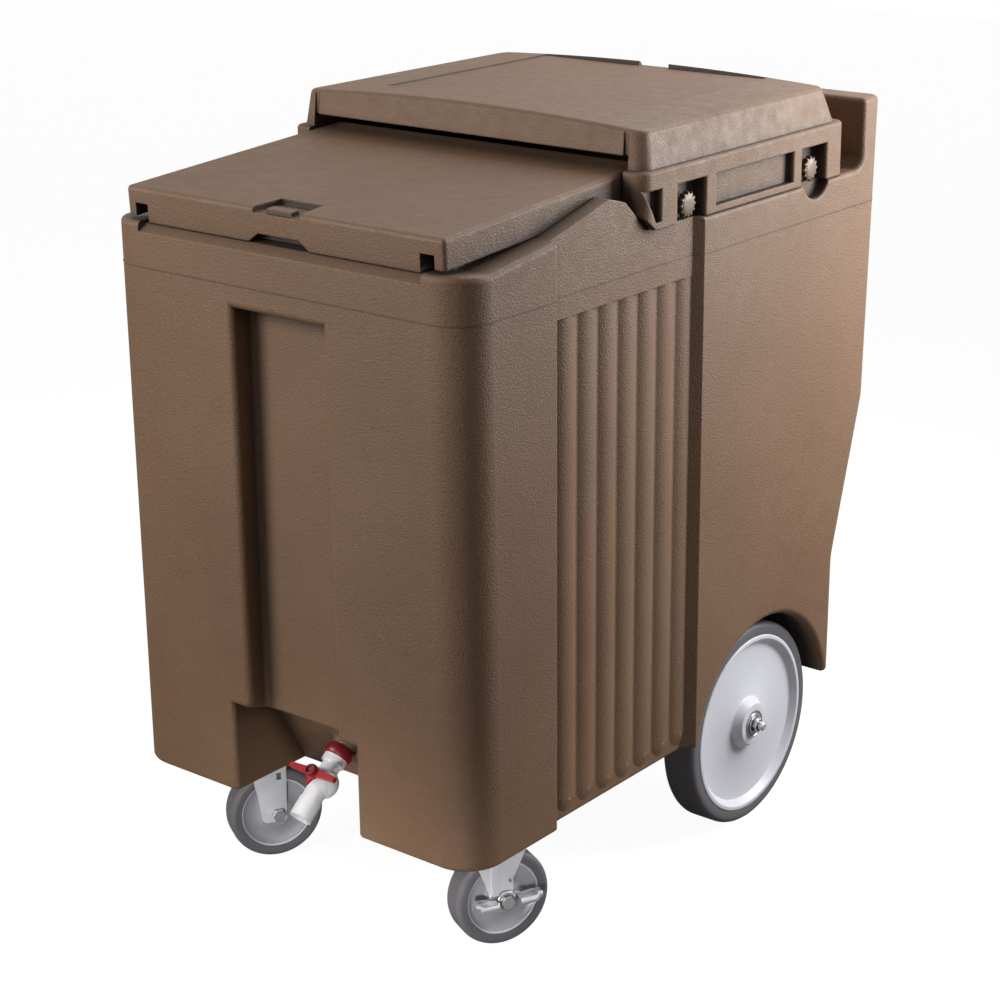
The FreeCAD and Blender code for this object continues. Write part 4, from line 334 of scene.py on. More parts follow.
@dataclass(frozen=True)
class PebbledShell:
    """Rotation-moulded brown wall with a fine pebbled skin and soft edges."""

    name: str = "pebbled_brown"
    colour: Colour = srgb(122, 91, 65)
    pale: Colour = srgb(130, 99, 73)
    dark: Colour = srgb(90, 64, 43)
    speck: Colour = srgb(166, 140, 118)
    # Colour of the painted shade that ambient occlusion lays into creases and pockets.
    painted_shade_colour: Colour = srgb(40, 27, 18)
    crease_reach: float = 28.0 * MM
    pebble: float = 620.0
    depth: float = 0.5 * MM
    bump_share: float = 0.8
    wave: float = 5.0
    wave_depth: float = 5.0 * MM
    wave_share: float = 0.4
    sheen: float = 0.62
    gloss: float = 0.54
    gloss_spread: float = 0.12
    edge_radius: float = 2.4 * MM
    crease_shade: float = 0.95

    def build(self) -> bpy.types.Material:
        """Build the material.

        Returns:
            The new material.
        """
        graph = Graph(self.name)
        shader = graph.surface(Specular_IOR_Level=self.sheen)
        graph.join(self.skin_colour(graph), shader.inputs["Base Color"])
        wear = graph.remap(graph.noise(60.0, 2.0), 0.3, 0.7, self.gloss, self.gloss + self.gloss_spread)
        graph.join(wear, shader.inputs["Roughness"])
        soft_edge = graph.add("ShaderNodeBevel", samples=6)
        soft_edge.inputs["Radius"].default_value = self.edge_radius
        pebbles = graph.bump(graph.cells(self.pebble, "SMOOTH_F1"), self.depth, self.bump_share,
                             soft_edge.outputs["Normal"])
        grain = graph.bump(graph.noise(self.pebble * 0.6, 3.0, 0.6), self.depth, self.bump_share, pebbles)
        waves = graph.bump(graph.noise(self.wave, 1.0), self.wave_depth, self.wave_share, grain)
        graph.join(waves, shader.inputs["Normal"])
        return graph.material

    def skin_colour(self, graph: Graph) -> bpy.types.NodeSocket:
        """Mix the broad tone, the dark pores and the pale specks of the skin, and paint shade into its
        creases.

        Args:
            graph: The material's node tree.

        Returns:
            The colour socket.
        """
        broad = graph.remap(graph.noise(7.0, 3.0), 0.35, 0.7)
        colour = graph.blend(broad, self.colour, self.pale)
        pores = graph.remap(graph.noise(self.pebble * 1.6, 3.0), 0.42, 0.75, 0.0, 0.75)
        colour = graph.darken(colour, pores, self.dark)
        specks = graph.remap(graph.noise(self.pebble * 2.3, 2.0, 0.7), 0.56, 0.78, 0.0, 0.7)
        colour = graph.darken(colour, specks, self.speck)
        # Painted shade: darken the skin in creases and pockets, where ambient occlusion finds near walls.
        return graph.darken(colour, graph.crease(self.crease_reach, self.crease_shade), self.painted_shade_colour)


@dataclass(frozen=True)
class SatinPlastic:
    """Moulded plastic or rubber with a fine even grain."""

    name: str
    colour: Colour
    tint: Colour
    gloss: float = 0.35
    grain: float = 900.0
    depth: float = 0.08 * MM
    dirt: float = 0.25
    gloss_spread: float = 0.1
    crease_reach: float = 5.0 * MM
    crease_shade: float = 0.0
    # Colour of the painted shade in creases, used where crease_shade is above 0.
    painted_shade_colour: Colour = srgb(20, 16, 14)

    def build(self) -> bpy.types.Material:
        """Build the material.

        Returns:
            The new material.
        """
        graph = Graph(self.name)
        shade = graph.remap(graph.noise(35.0, 4.0), 0.4, 0.75, 0.0, self.dirt)
        shader = graph.surface(Specular_IOR_Level=0.5)
        graph.join(graph.tinted(shade, self), shader.inputs["Base Color"])
        wear = graph.remap(graph.noise(120.0, 2.0), 0.3, 0.7, self.gloss, self.gloss + self.gloss_spread)
        graph.join(wear, shader.inputs["Roughness"])
        graph.join(graph.bump(graph.noise(self.grain, 2.0), self.depth, 0.4), shader.inputs["Normal"])
        return graph.material


@dataclass(frozen=True)
class PlatedMetal:
    """Plated or turned metal with fine rolling marks."""

    name: str
    colour: Colour
    tint: Colour
    gloss: float = 0.2
    streaks: Point = (40.0, 40.0, 600.0)
    bare: float = 1.0
    gloss_spread: float = 0.14
    mark_depth: float = 0.04 * MM
    crease_reach: float = 6.0 * MM
    crease_shade: float = 0.0
    # Colour of the painted shade in creases, used where crease_shade is above 0.
    painted_shade_colour: Colour = srgb(34, 33, 34)

    def build(self) -> bpy.types.Material:
        """Build the material.

        Returns:
            The new material.
        """
        graph = Graph(self.name)
        shade = graph.remap(graph.noise(45.0, 3.0), 0.4, 0.7)
        marks = graph.noise(1.0, 3.0, 0.6, self.streaks)
        shader = graph.surface(metallic=self.bare)
        graph.join(graph.tinted(shade, self), shader.inputs["Base Color"])
        wear = graph.remap(marks, 0.3, 0.7, self.gloss, self.gloss + self.gloss_spread)
        graph.join(wear, shader.inputs["Roughness"])
        graph.join(graph.bump(marks, self.mark_depth, 0.3), shader.inputs["Normal"])
        return graph.material


@dataclass
class Finishes:
    """Every finish of the ice bin, kept by its material slot."""

    made: dict[Slot, bpy.types.Material] = field(default_factory=dict)
    dome: bpy.types.Material | None = None
    socket: bpy.types.Material | None = None

    def build(self) -> None:
        """Build all the materials once."""
        recipes = {
            Slot.BROWN: PebbledShell(),
            Slot.FOAM: SatinPlastic("foam_filling", srgb(226, 212, 170), srgb(205, 188, 140), 0.8, 400.0),
            Slot.TYRE: SatinPlastic("grey_rubber", srgb(112, 108, 112), srgb(98, 94, 98), 0.5, 700.0),
            Slot.DISC: SatinPlastic("wheel_white", srgb(228, 228, 236), srgb(218, 218, 226), 0.34),
            Slot.CORE: SatinPlastic("core_grey", srgb(176, 174, 178), srgb(160, 158, 162), 0.36),
            # The knob paints shade into its flutes.
            Slot.KNOB: SatinPlastic("knob_brown", srgb(132, 112, 94), srgb(108, 88, 72), 0.26,
                                    crease_shade=1.0),
            Slot.BRASS: PlatedMetal("turned_brass", srgb(214, 176, 92), srgb(190, 150, 74), 0.25),
            Slot.RED: SatinPlastic("valve_red", srgb(176, 28, 36), srgb(146, 20, 30), 0.28),
            Slot.WHITE: SatinPlastic("valve_white", srgb(246, 246, 248), srgb(238, 238, 242), 0.3),
            Slot.ZINC: PlatedMetal("zinc_plating", srgb(250, 250, 253), srgb(234, 235, 241), 0.3,
                                   streaks=(90.0, 90.0, 200.0), bare=0.2),
            # The bright plating paints shade into its creases.
            Slot.STEEL: PlatedMetal("bright_plating", srgb(244, 244, 247), srgb(226, 227, 231), 0.1,
                                    streaks=(60.0, 60.0, 60.0), bare=0.7, crease_shade=0.95),
        }
        self.made = {slot: recipe.build() for slot, recipe in recipes.items()}
        self.dome = SatinPlastic("dome_dark_red", srgb(132, 22, 32), srgb(104, 14, 24), 0.3).build()
        # The socket paints shade into its hole.
        self.socket = SatinPlastic("socket_red", srgb(140, 22, 32), srgb(112, 14, 24), 0.3,
                                   crease_shade=1.0).build()

    def dress_frame(self, frame: dict) -> None:
        """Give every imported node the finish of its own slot.
        """
        for part in frame["record"]["subparts"]:
            node = frame["nodes"][part["node"]]
            node.data.materials.clear()
            node.data.materials.append(self.made[Slot(part["material_slot"])])


@dataclass(frozen=True)
class Softbox:
    """One square soft lamp: places in metres, power in watts, spread in degrees."""

    name: str
    place: Point
    aim: Point
    size: float
    power: float
    spread: float


@dataclass
class Studio:
    """Floor, lights and the camera at the photograph's angle."""

    position: Point = (1669.726 * MM, -2104.435 * MM, 1338.681 * MM)
    azimuth: float = 38.7697
    pitch: float = 16.9703
    roll: float = -0.4288
    focal_pixels: float = 2367.78
    frame_pixels: float = 1000.0
    principal_row: float = 415.0
    sensor: float = 36.0
    sight: float = 50.0
    floor_side: float = 14.0
    floor_colour: Colour = srgb(105, 105, 105)
    floor_glow: float = 0.95
    room_light: float = 0.09
    mirrored_room: float = 0.75
    lamps: tuple[Softbox, ...] = (
        Softbox("front_softbox", (-0.75, -2.0, 1.3), (0.0, -0.35, 0.5), 1.0, 20.5, 150.0),
        Softbox("side_softbox", (0.95, 0.85, 0.95), (0.25, 0.15, 0.55), 0.6, 13.8, 150.0),
        Softbox("low_softbox", (0.75, -1.5, 0.07), (0.03, -0.3, 0.02), 0.2, 0.34, 24.0),
        Softbox("ceiling_softbox", (0.1, 0.95, 1.95), (0.0, 0.1, 0.88), 0.9, 9.5, 150.0),
    )

    def build(self) -> None:
        """Build the whole studio."""
        self.add_camera()
        self.add_floor()
        self.add_world()
        for softbox in self.lamps:
            self.add_lamp(softbox)
        bpy.context.scene.view_settings.view_transform = "Standard"

    def add_camera(self) -> None:
        """Place the camera by its measured direction and row shift."""
        turn, dip, roll = (math.radians(v) for v in (self.azimuth, self.pitch, self.roll))
        ahead = Vector((-math.sin(turn) * math.cos(dip), math.cos(turn) * math.cos(dip), -math.sin(dip)))
        right = ahead.cross(Vector((0.0, 0.0, 1.0))).normalized()
        above = right.cross(ahead)
        rolled_right = right * math.cos(roll) + above * math.sin(roll)
        rolled_above = above * math.cos(roll) - right * math.sin(roll)
        data = bpy.data.cameras.new("camera")
        data.sensor_width = self.sensor
        data.lens = self.focal_pixels / self.frame_pixels * self.sensor
        data.shift_y = (self.principal_row - self.frame_pixels / 2) / self.frame_pixels
        data.clip_end = self.sight
        camera = bpy.data.objects.new("camera", data)
        matrix = Matrix((rolled_right, rolled_above, -ahead)).transposed().to_4x4()
        matrix.translation = Vector(self.position)
        camera.matrix_world = matrix
        bpy.context.scene.collection.objects.link(camera)
        bpy.context.scene.camera = camera

    def add_floor(self) -> None:
        """Lay a plain pale floor that keeps a faint shadow."""
        clear_selection()
        bpy.ops.mesh.primitive_plane_add(size=self.floor_side, location=(0.0, 0.0, 0.0))
        floor = bpy.context.object
        floor.name = "floor"
        graph = Graph("pale_floor")
        shader = graph.surface(Specular_IOR_Level=0.1, Roughness=0.9)
        shader.inputs["Base Color"].default_value = (*self.floor_colour, 1.0)
        glow = graph.add("ShaderNodeEmission")
        seen = graph.add("ShaderNodeLightPath").outputs["Is Camera Ray"]
        graph.join(graph.remap(seen, 0.0, 1.0, 0.0, self.floor_glow), glow.inputs["Strength"])
        both = graph.add("ShaderNodeAddShader")
        graph.join(shader.outputs["BSDF"], both.inputs[0])
        graph.join(glow.outputs["Emission"], both.inputs[1])
        graph.join(both.outputs["Shader"], graph.output.inputs["Surface"])
        floor.data.materials.append(graph.material)
        floor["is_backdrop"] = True

    def add_world(self) -> None:
        """Fill the room with soft white light."""
        world = bpy.data.worlds.new("studio")
        world.use_nodes = True
        tree = world.node_tree
        back = tree.nodes["Background"]
        back.inputs["Color"].default_value = (1.0, 1.0, 1.0, 1.0)
        paths = tree.nodes.new("ShaderNodeLightPath")
        mirrored, seen, strength = (tree.nodes.new("ShaderNodeMath") for _ in range(3))
        mirrored.operation = "MULTIPLY"
        mirrored.inputs[1].default_value = self.mirrored_room
        seen.operation = strength.operation = "MAXIMUM"
        strength.inputs[1].default_value = self.room_light
        for source, target in (
            (paths.outputs["Is Glossy Ray"], mirrored.inputs[0]),
            (paths.outputs["Is Camera Ray"], seen.inputs[0]),
            (mirrored.outputs["Value"], seen.inputs[1]),
            (seen.outputs["Value"], strength.inputs[0]),
            (strength.outputs["Value"], back.inputs["Strength"]),
        ):
            tree.links.new(source, target)
        bpy.context.scene.world = world

    def add_lamp(self, softbox: Softbox) -> None:
        """Hang one lamp that faces the ice bin.

        Args:
            softbox: The lamp's place, aim, size and power.
        """
        data = bpy.data.lights.new(softbox.name, "AREA")
        data.size = softbox.size
        data.energy = softbox.power
        data.spread = math.radians(softbox.spread)
        lamp = bpy.data.objects.new(softbox.name, data)
        turn = (Vector(softbox.aim) - Vector(softbox.place)).to_track_quat("-Z", "Y")
        lamp.matrix_world = Matrix.Translation(softbox.place) @ turn.to_matrix().to_4x4()
        bpy.context.scene.collection.objects.link(lamp)


def clear_selection() -> None:
    """Deselect every object, so that an operator acts on the new piece alone."""
    bpy.ops.object.select_all(action="DESELECT")


def select_only(piece: bpy.types.Object) -> None:
    """Make a piece the only selected one and the active one."""
    clear_selection()
    piece.select_set(True)
    bpy.context.view_layer.objects.active = piece


def pick(piece: bpy.types.Object, chosen: Callable[[Vector], bool]) -> None:
    """Select the points of a piece by their place, in edit mode.

    Args:
        piece: The piece that is being edited.
        chosen: Says of a point whether it is wanted.
    """
    bpy.ops.mesh.select_mode(type="VERT")
    bpy.ops.mesh.select_all(action="DESELECT")
    bpy.ops.object.mode_set(mode="OBJECT")
    for point in piece.data.vertices:
        point.select = chosen(point.co)
    bpy.ops.object.mode_set(mode="EDIT")
    bpy.ops.mesh.select_mode(type="VERT")


def apply_modifier(piece: bpy.types.Object, kind: str, **values: object) -> None:
    """Add a modifier to a piece and apply it.

    Args:
        piece: The piece to change.
        kind: Blender's name of the modifier type.
        values: Properties of the modifier.
    """
    modifier = piece.modifiers.new(kind.lower(), kind)
    for key, value in values.items():
        setattr(modifier, key, value)
    bpy.context.view_layer.objects.active = piece
    bpy.ops.object.modifier_apply(modifier=modifier.name)


def frame_at(place: Point | Vector, axis: Point | Vector, turn: float = 0.0) -> Matrix:
    """Work out where a piece that was made upright at the origin goes.

    Args:
        place: Its new origin in metres.
        axis: The direction that its upright takes.
        turn: Turn about that direction, in radians.

    Returns:
        The matrix that takes it there.
    """
    upright = Vector(axis).to_track_quat("Z", "Y").to_matrix().to_4x4()
    return Matrix.Translation(place) @ upright @ Matrix.Rotation(turn, 4, "Z")


def settle(piece: bpy.types.Object, place: Matrix, edge: float = 0.0, steps: int = 2,
           smooth: float = 35.0) -> bpy.types.Object:
    """Put a finished piece in its place, round its edges and shade it.

    Args:
        piece: The piece, made upright at the origin.
        place: Where it goes.
        edge: Radius of its edges in metres, 0 for none.
        steps: Faces across a rounded edge.
        smooth: Greatest angle that is shaded smooth, in degrees.

    Returns:
        The same piece.
    """
    select_only(piece)
    if edge > 0.0:
        apply_modifier(piece, "BEVEL", width=edge, segments=steps, limit_method="ANGLE",
                       angle_limit=math.radians(30.0))
    piece.matrix_world = place
    bpy.ops.object.transform_apply(location=True, rotation=True, scale=True)
    bpy.ops.object.shade_smooth_by_angle(angle=math.radians(smooth))
    return piece


def turned(name: str, rings: Sequence[tuple[float, float]], hollow: bool = False,
           corners: int = 96) -> bpy.types.Object:
    """Turn a piece about the upright axis, ring by ring.

    Args:
        name: The piece's name.
        rings: Height and radius of each ring in millimetres.
        hollow: Whether the last ring joins the first one, as in a tyre.
        corners: Corners of each ring.

    Returns:
        The new piece.
    """
    clear_selection()
    height, radius = rings[0]
    bpy.ops.mesh.primitive_circle_add(vertices=corners, radius=radius * MM)
    piece = bpy.context.object
    piece.name = name
    bpy.ops.object.mode_set(mode="EDIT")
    bpy.ops.mesh.select_all(action="SELECT")
    bpy.ops.transform.translate(value=(0.0, 0.0, height * MM))
    for next_height, next_radius in rings[1:]:
        bpy.ops.mesh.extrude_region_move(
            TRANSFORM_OT_translate={"value": (0.0, 0.0, (next_height - height) * MM)})
        share = next_radius / radius
        bpy.ops.transform.resize(value=(share, share, 1.0), center_override=(0.0, 0.0, next_height * MM))
        height, radius = next_height, next_radius
    bpy.ops.mesh.select_mode(type="EDGE")
    bpy.ops.mesh.select_all(action="DESELECT")
    bpy.ops.mesh.select_non_manifold()
    if hollow:
        bpy.ops.mesh.bridge_edge_loops()
    else:
        bpy.ops.mesh.fill_holes(sides=0)
    bpy.ops.mesh.select_all(action="SELECT")
    bpy.ops.mesh.normals_make_consistent(inside=False)
    bpy.ops.object.mode_set(mode="OBJECT")
    return piece


def copy_of_node(node: str, name: str) -> bpy.types.Object:
    """Copy a CAD node into a loose mesh object of its own.

    Args:
        node: The node to copy.
        name: Name of the copy.

    Returns:
        The copy, which rides on nothing yet.
    """
    source = bpy.data.objects[node]
    copy = bpy.data.objects.new(name, source.data.copy())
    bpy.context.scene.collection.objects.link(copy)
    return copy


def block(size: Point, middle: Point) -> bpy.types.Object:
    """Add a block to shape further.

    Args:
        size: Its sides in millimetres.
        middle: Its middle in millimetres.

    Returns:
        The new piece, with its object at the origin.
    """
    clear_selection()
    bpy.ops.mesh.primitive_cube_add(size=1.0)
    piece = bpy.context.object
    bpy.ops.object.mode_set(mode="EDIT")
    bpy.ops.mesh.select_all(action="SELECT")
    bpy.ops.transform.resize(value=[side * MM for side in size], center_override=(0.0, 0.0, 0.0))
    bpy.ops.transform.translate(value=[place * MM for place in middle])
    bpy.ops.object.mode_set(mode="OBJECT")
    return piece


def joined(pieces: Sequence[bpy.types.Object], name: str) -> bpy.types.Object:
    """Join pieces into one.

    Args:
        pieces: The pieces, of which the last takes the others in.
        name: Name of the whole.

    Returns:
        The whole.
    """
    whole = pieces[-1]
    select_only(whole)
    for piece in pieces:
        piece.select_set(True)
    bpy.ops.object.join()
    whole.name = name
    return whole


@dataclass
class Maker:
    """What every sub-assembly needs to finish and report a piece."""

    finishes: Finishes
    frame: dict

    def joint(self, name: str) -> dict:
        """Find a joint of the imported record.

        Args:
            name: The joint's name.

        Returns:
            The joint's entry.
        """
        return next(joint for joint in self.frame["joints"] if joint["name"] == name)

    def joint_axis(self, name: str) -> Vector:
        """Give the direction of a joint's axis.

        Args:
            name: The joint's name.

        Returns:
            The direction, of length 1.
        """
        return Vector(self.joint(name)["axis"]).normalized()

    def joint_place(self, name: str) -> Vector:
        """Give a point on a joint's axis.

        Args:
            name: The joint's name.

        Returns:
            The point in metres.
        """
        return Vector(self.joint(name)["pos_m"])

    @staticmethod
    def centre_of(node: str) -> Vector:
        """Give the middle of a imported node's box.

        Args:
            node: The node's name.

        Returns:
            The middle in metres.
        """
        low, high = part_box(node)
        return (low + high) / 2.0

    @staticmethod
    def facing(centre: Vector, outward: Vector) -> Matrix:
        """Work out the place of a piece whose face looks outward and whose Y axis is up.

        Args:
            centre: Its origin in metres.
            outward: The direction of its face.

        Returns:
            The matrix that takes it there.
        """
        up = Vector((0.0, 0.0, 1.0))
        place = Matrix((up.cross(outward), up, outward)).transposed().to_4x4()
        place.translation = centre
        return place

    def hand_over(self, piece: bpy.types.Object, slot: Slot, body: str, *replaced: str,
                  finish: bpy.types.Material | None = None) -> None:
        """Dress a piece, tie it to its body and report it.

        Args:
            piece: The finished piece.
            slot: The material slot it takes its finish from.
            body: The body it rides on.
            replaced: CAD nodes that it stands for.
            finish: Its own finish, where it isn't the slot's.
        """
        piece.data.materials.clear()
        piece.data.materials.append(finish or self.finishes.made[slot])
        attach(piece, body)
        if replaced:
            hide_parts(*replaced)
        LOG.info("%s rides on %s", piece.name, body)


@dataclass
class RearWheels(Maker):
    """Large rear wheels: a white dished disc with a soft grey tyre round it."""

    tyre_radius: float = 127.0
    seat_radius: float = 111.5
    tyre_middle: float = 214.0
    tyre_half: float = 22.0
    shoulder: float = 7.0
    rim_face: float = 23.0
    rim_inner: float = 104.0
    web_face: float = 15.0
    web_edge: float = 99.0
    hub_face: float = 27.0
    hub_radius: float = 26.0
    hub_foot: float = 33.0
    hub_inner: float = 28.0
    hub_inner_radius: float = 21.0
    bore: float = 8.6
    axle_height: float = 127.0
    axle_reach: float = 167.0
    bearing: tuple[tuple[float, float], ...] = (
        (26.9, 17.5), (28.0, 17.5), (28.0, 16.0), (27.3, 15.4), (27.3, 14.0), (28.2, 13.4), (28.2, 9.6),
        (26.9, 9.6),
    )

    def build(self) -> None:
        """Build both wheels."""
        for name, side in (("right", 1.0), ("left", -1.0)):
            place = frame_at((side * self.tyre_middle * MM, self.axle_reach * MM, self.axle_height * MM),
                             (side, 0.0, 0.0))
            tyre = settle(self.make_tyre(f"rear_tread_{name}"), place, 0.8 * MM)
            self.hand_over(tyre, Slot.TYRE, f"wheel_{name}", f"rear_tyre_{name}")
            disc = settle(self.make_disc(f"rear_disc_{name}"), place, 1.3 * MM, 3)
            self.hand_over(disc, Slot.DISC, f"wheel_{name}", f"rear_wheel_{name}")
            bearing = settle(turned(f"rear_bearing_{name}", self.bearing, hollow=True), place, 0.25 * MM)
            self.hand_over(bearing, Slot.STEEL, f"wheel_{name}")

    def make_tyre(self, name: str) -> bpy.types.Object:
        """Turn the tyre with its round shoulders.

        Args:
            name: The piece's name.

        Returns:
            The new piece.
        """
        half, top, round_over = self.tyre_half, self.tyre_radius, self.shoulder
        turns = [math.radians(15.0 * step) for step in range(7)]
        bend = [(half - round_over * (1.0 - math.sin(turn)), top - round_over * (1.0 - math.cos(turn)))
                for turn in turns]
        far_bend = [(-height, radius) for height, radius in bend]
        return turned(name, [(-half, self.seat_radius), *reversed(far_bend), *bend, (half, self.seat_radius)],
                      hollow=True, corners=128)

    def make_disc(self, name: str) -> bpy.types.Object:
        """Turn the dished disc with its rim bead and hub.

        Args:
            name: The piece's name.

        Returns:
            The new piece.
        """
        seat = self.seat_radius - 0.2
        return turned(name, [
            (self.hub_face, self.bore), (self.hub_face, self.hub_radius),
            (self.web_face + 1.5, self.hub_foot - 1.5), (self.web_face, self.hub_foot + 1.5),
            (self.web_face, self.web_edge), (self.web_face + 1.5, self.web_edge + 1.2),
            (self.rim_face - 2.2, self.rim_inner), (self.rim_face, self.rim_inner + 2.0),
            (self.rim_face, seat - 1.0), (self.rim_face - 1.2, seat),
            (-self.rim_face + 1.2, seat), (-self.rim_face, seat - 1.0),
            (-self.rim_face, self.rim_inner + 2.0), (-self.web_face, self.web_edge),
            (-self.web_face, self.hub_inner_radius + 4.0), (-self.hub_inner, self.hub_inner_radius),
            (-self.hub_inner, self.bore),
        ], hollow=True, corners=128)


@dataclass
class CasterWheels(Maker):
    """Caster cores: a smooth grey dish with a raised pale ring at its rim."""

    bore: float = 5.3
    bead_radius: float = 42.8
    bead: float = 1.3
    bead_face: float = 13.2
    bead_steps: int = 10
    dish: tuple[tuple[float, float], ...] = (
        (16.6, 12.0), (16.0, 16.5), (14.0, 19.0), (11.4, 22.5), (9.6, 27.0), (9.0, 32.0), (9.6, 36.5),
        (11.0, 39.5), (13.0, 41.4), (13.0, 43.7),
    )

    def build(self) -> None:
        """Build the cores and the rings on both faces."""
        for name in ("right", "left"):
            centre = self.centre_of(f"caster_tyre_{name}")
            axis = self.joint_axis(f"caster_{name}_roll")
            core = settle(self.make_core(f"caster_dish_{name}"), frame_at(centre, axis), 0.3 * MM, 2, 50.0)
            self.hand_over(core, Slot.CORE, f"caster_{name}", f"caster_wheel_{name}")
            for face, side in (("outer", 1.0), ("inner", -1.0)):
                ring = turned(f"caster_bead_{name}_{face}", self.bead_rings(), hollow=True)
                place = frame_at(centre + axis * side * self.bead_face * MM, axis * side)
                self.hand_over(settle(ring, place), Slot.DISC, f"caster_{name}")

    def make_core(self, name: str) -> bpy.types.Object:
        """Turn the dished core.

        Args:
            name: The piece's name.

        Returns:
            The new piece.
        """
        back = [(-height, radius) for height, radius in reversed(self.dish)]
        face = self.dish[0][0]
        return turned(name, [(face, self.bore), *self.dish, *back, (-face, self.bore)], hollow=True)

    def bead_rings(self) -> list[tuple[float, float]]:
        """Give the round section of the bead.

        Returns:
            Height and radius of each ring in millimetres.
        """
        turns = [math.tau * step / self.bead_steps for step in range(self.bead_steps)]
        return [(self.bead * math.sin(turn), self.bead_radius + self.bead * math.cos(turn)) for turn in turns]


@dataclass(frozen=True)
class ForkShape:
    """Reaches of one fork's side plate from its cross bolt, its rib and its hole, in millimetres."""

    top_front: float
    top_rear: float
    foot_front: float
    foot_rear: float
    knee: float
    has_rib: bool
    hole: tuple[float, float]
    hole_size: tuple[float, float]


@dataclass
class CasterForks(Maker):
    """Zinc-plated forks: two tapered side plates under a folded crown."""

    right: ForkShape = ForkShape(-46.0, 36.0, -15.0, 10.0, 24.0, True, (6.0, 23.0), (4.0, 4.0))
    left: ForkShape = ForkShape(-36.0, 12.0, -19.0, 11.0, 24.0, False, (2.0, 49.5), (5.5, 8.5))
    plate_inner: float = 17.2
    plate: float = 3.0
    foot: float = -9.5
    foot_round: float = 7.0
    crown: float = 78.0
    rib_place: float = -13.0
    rib_width: float = 9.0
    rib_rise: float = 2.2
    rib_foot: float = 8.0
    knee_share: float = 0.75
    foot_steps: int = 6
    margin: float = 1.0
    overlap: float = 0.2
    sink: float = 0.1
    edge: float = 0.5
    smooth: float = 40.0

    def build(self) -> None:
        """Build both forks."""
        for name, shape in (("right", self.right), ("left", self.left)):
            parts = [self.make_rib()] if shape.has_rib else []
            parts += [self.make_crown(shape), self.make_side(shape, -1.0), self.make_side(shape, 1.0)]
            place = self.facing(self.centre_of(f"caster_tyre_{name}"), self.joint_axis(f"caster_{name}_roll"))
            fork = joined(parts, f"caster_fork_plates_{name}")
            settle(fork, place, self.edge * MM, 2, self.smooth)
            self.hand_over(fork, Slot.ZINC, f"fork_{name}", f"caster_fork_{name}")

    def make_side(self, shape: ForkShape, side: float) -> bpy.types.Object:
        """Shape one side plate with its round foot and square slot.

        Args:
            shape: Reaches of the plate.
            side: 1 for the outer plate, -1 for the inner one.

        Returns:
            The new piece.
        """
        width = shape.foot_rear - shape.foot_front
        middle = (shape.foot_rear + shape.foot_front) / 2.0
        depth = side * (self.plate_inner + self.plate / 2.0)
        plate = block((width, self.crown - self.foot, self.plate),
                      (middle, (self.crown + self.foot) / 2.0, depth))
        bpy.ops.object.mode_set(mode="EDIT")
        bpy.ops.mesh.select_all(action="SELECT")
        bpy.ops.mesh.bisect(plane_co=(0.0, shape.knee * MM, 0.0), plane_no=(0.0, 1.0, 0.0))
        head = (self.crown - self.margin) * MM
        pick(plate, lambda at: at.y > head and at.x > middle * MM)
        bpy.ops.transform.translate(value=((shape.top_rear - shape.foot_rear) * MM, 0.0, 0.0))
        pick(plate, lambda at: at.y > head and at.x < middle * MM)
        bpy.ops.transform.translate(value=((shape.top_front - shape.foot_front) * MM, 0.0, 0.0))
        share = (shape.knee - self.foot) / (self.crown - self.foot)
        knee_low, knee_high = (shape.knee - self.margin) * MM, (shape.knee + self.margin) * MM
        pick(plate, lambda at: knee_low < at.y < knee_high and at.x < middle * MM)
        knee_step = (shape.top_front - shape.foot_front) * share * self.knee_share
        bpy.ops.transform.translate(value=(knee_step * MM, 0.0, 0.0))
        sole = (self.foot + self.margin) * MM
        for is_rear in (True, False):
            pick(plate, lambda at: at.y < sole and (at.x > middle * MM) == is_rear)
            bpy.ops.mesh.bevel(offset=self.foot_round * MM, segments=self.foot_steps, affect="EDGES")
        bpy.ops.object.mode_set(mode="OBJECT")
        cutter = block((*shape.hole_size, 4.0 * self.plate), (*shape.hole, depth))
        apply_modifier(plate, "BOOLEAN", operation="DIFFERENCE", object=cutter, solver="EXACT")
        bpy.data.objects.remove(cutter)
        return plate

    def make_crown(self, shape: ForkShape) -> bpy.types.Object:
        """Shape the flat crown that joins the side plates.

        Args:
            shape: Reaches of the side plates.

        Returns:
            The new piece.
        """
        length = shape.top_rear - shape.top_front
        middle = (shape.top_rear + shape.top_front) / 2.0
        return block((length, self.plate, 2.0 * (self.plate_inner + self.overlap)),
                     (middle, self.crown - self.plate / 2.0, 0.0))

    def make_rib(self) -> bpy.types.Object:
        """Shape the upright stiffening rib pressed into the outer plate.

        Returns:
            The new piece.
        """
        foot, head = self.rib_foot, self.crown - self.margin
        depth = self.plate_inner + self.plate + self.rib_rise / 2.0 - self.sink
        return block((self.rib_width, head - foot, self.rib_rise),
                     (self.rib_place, (head + foot) / 2.0, depth))


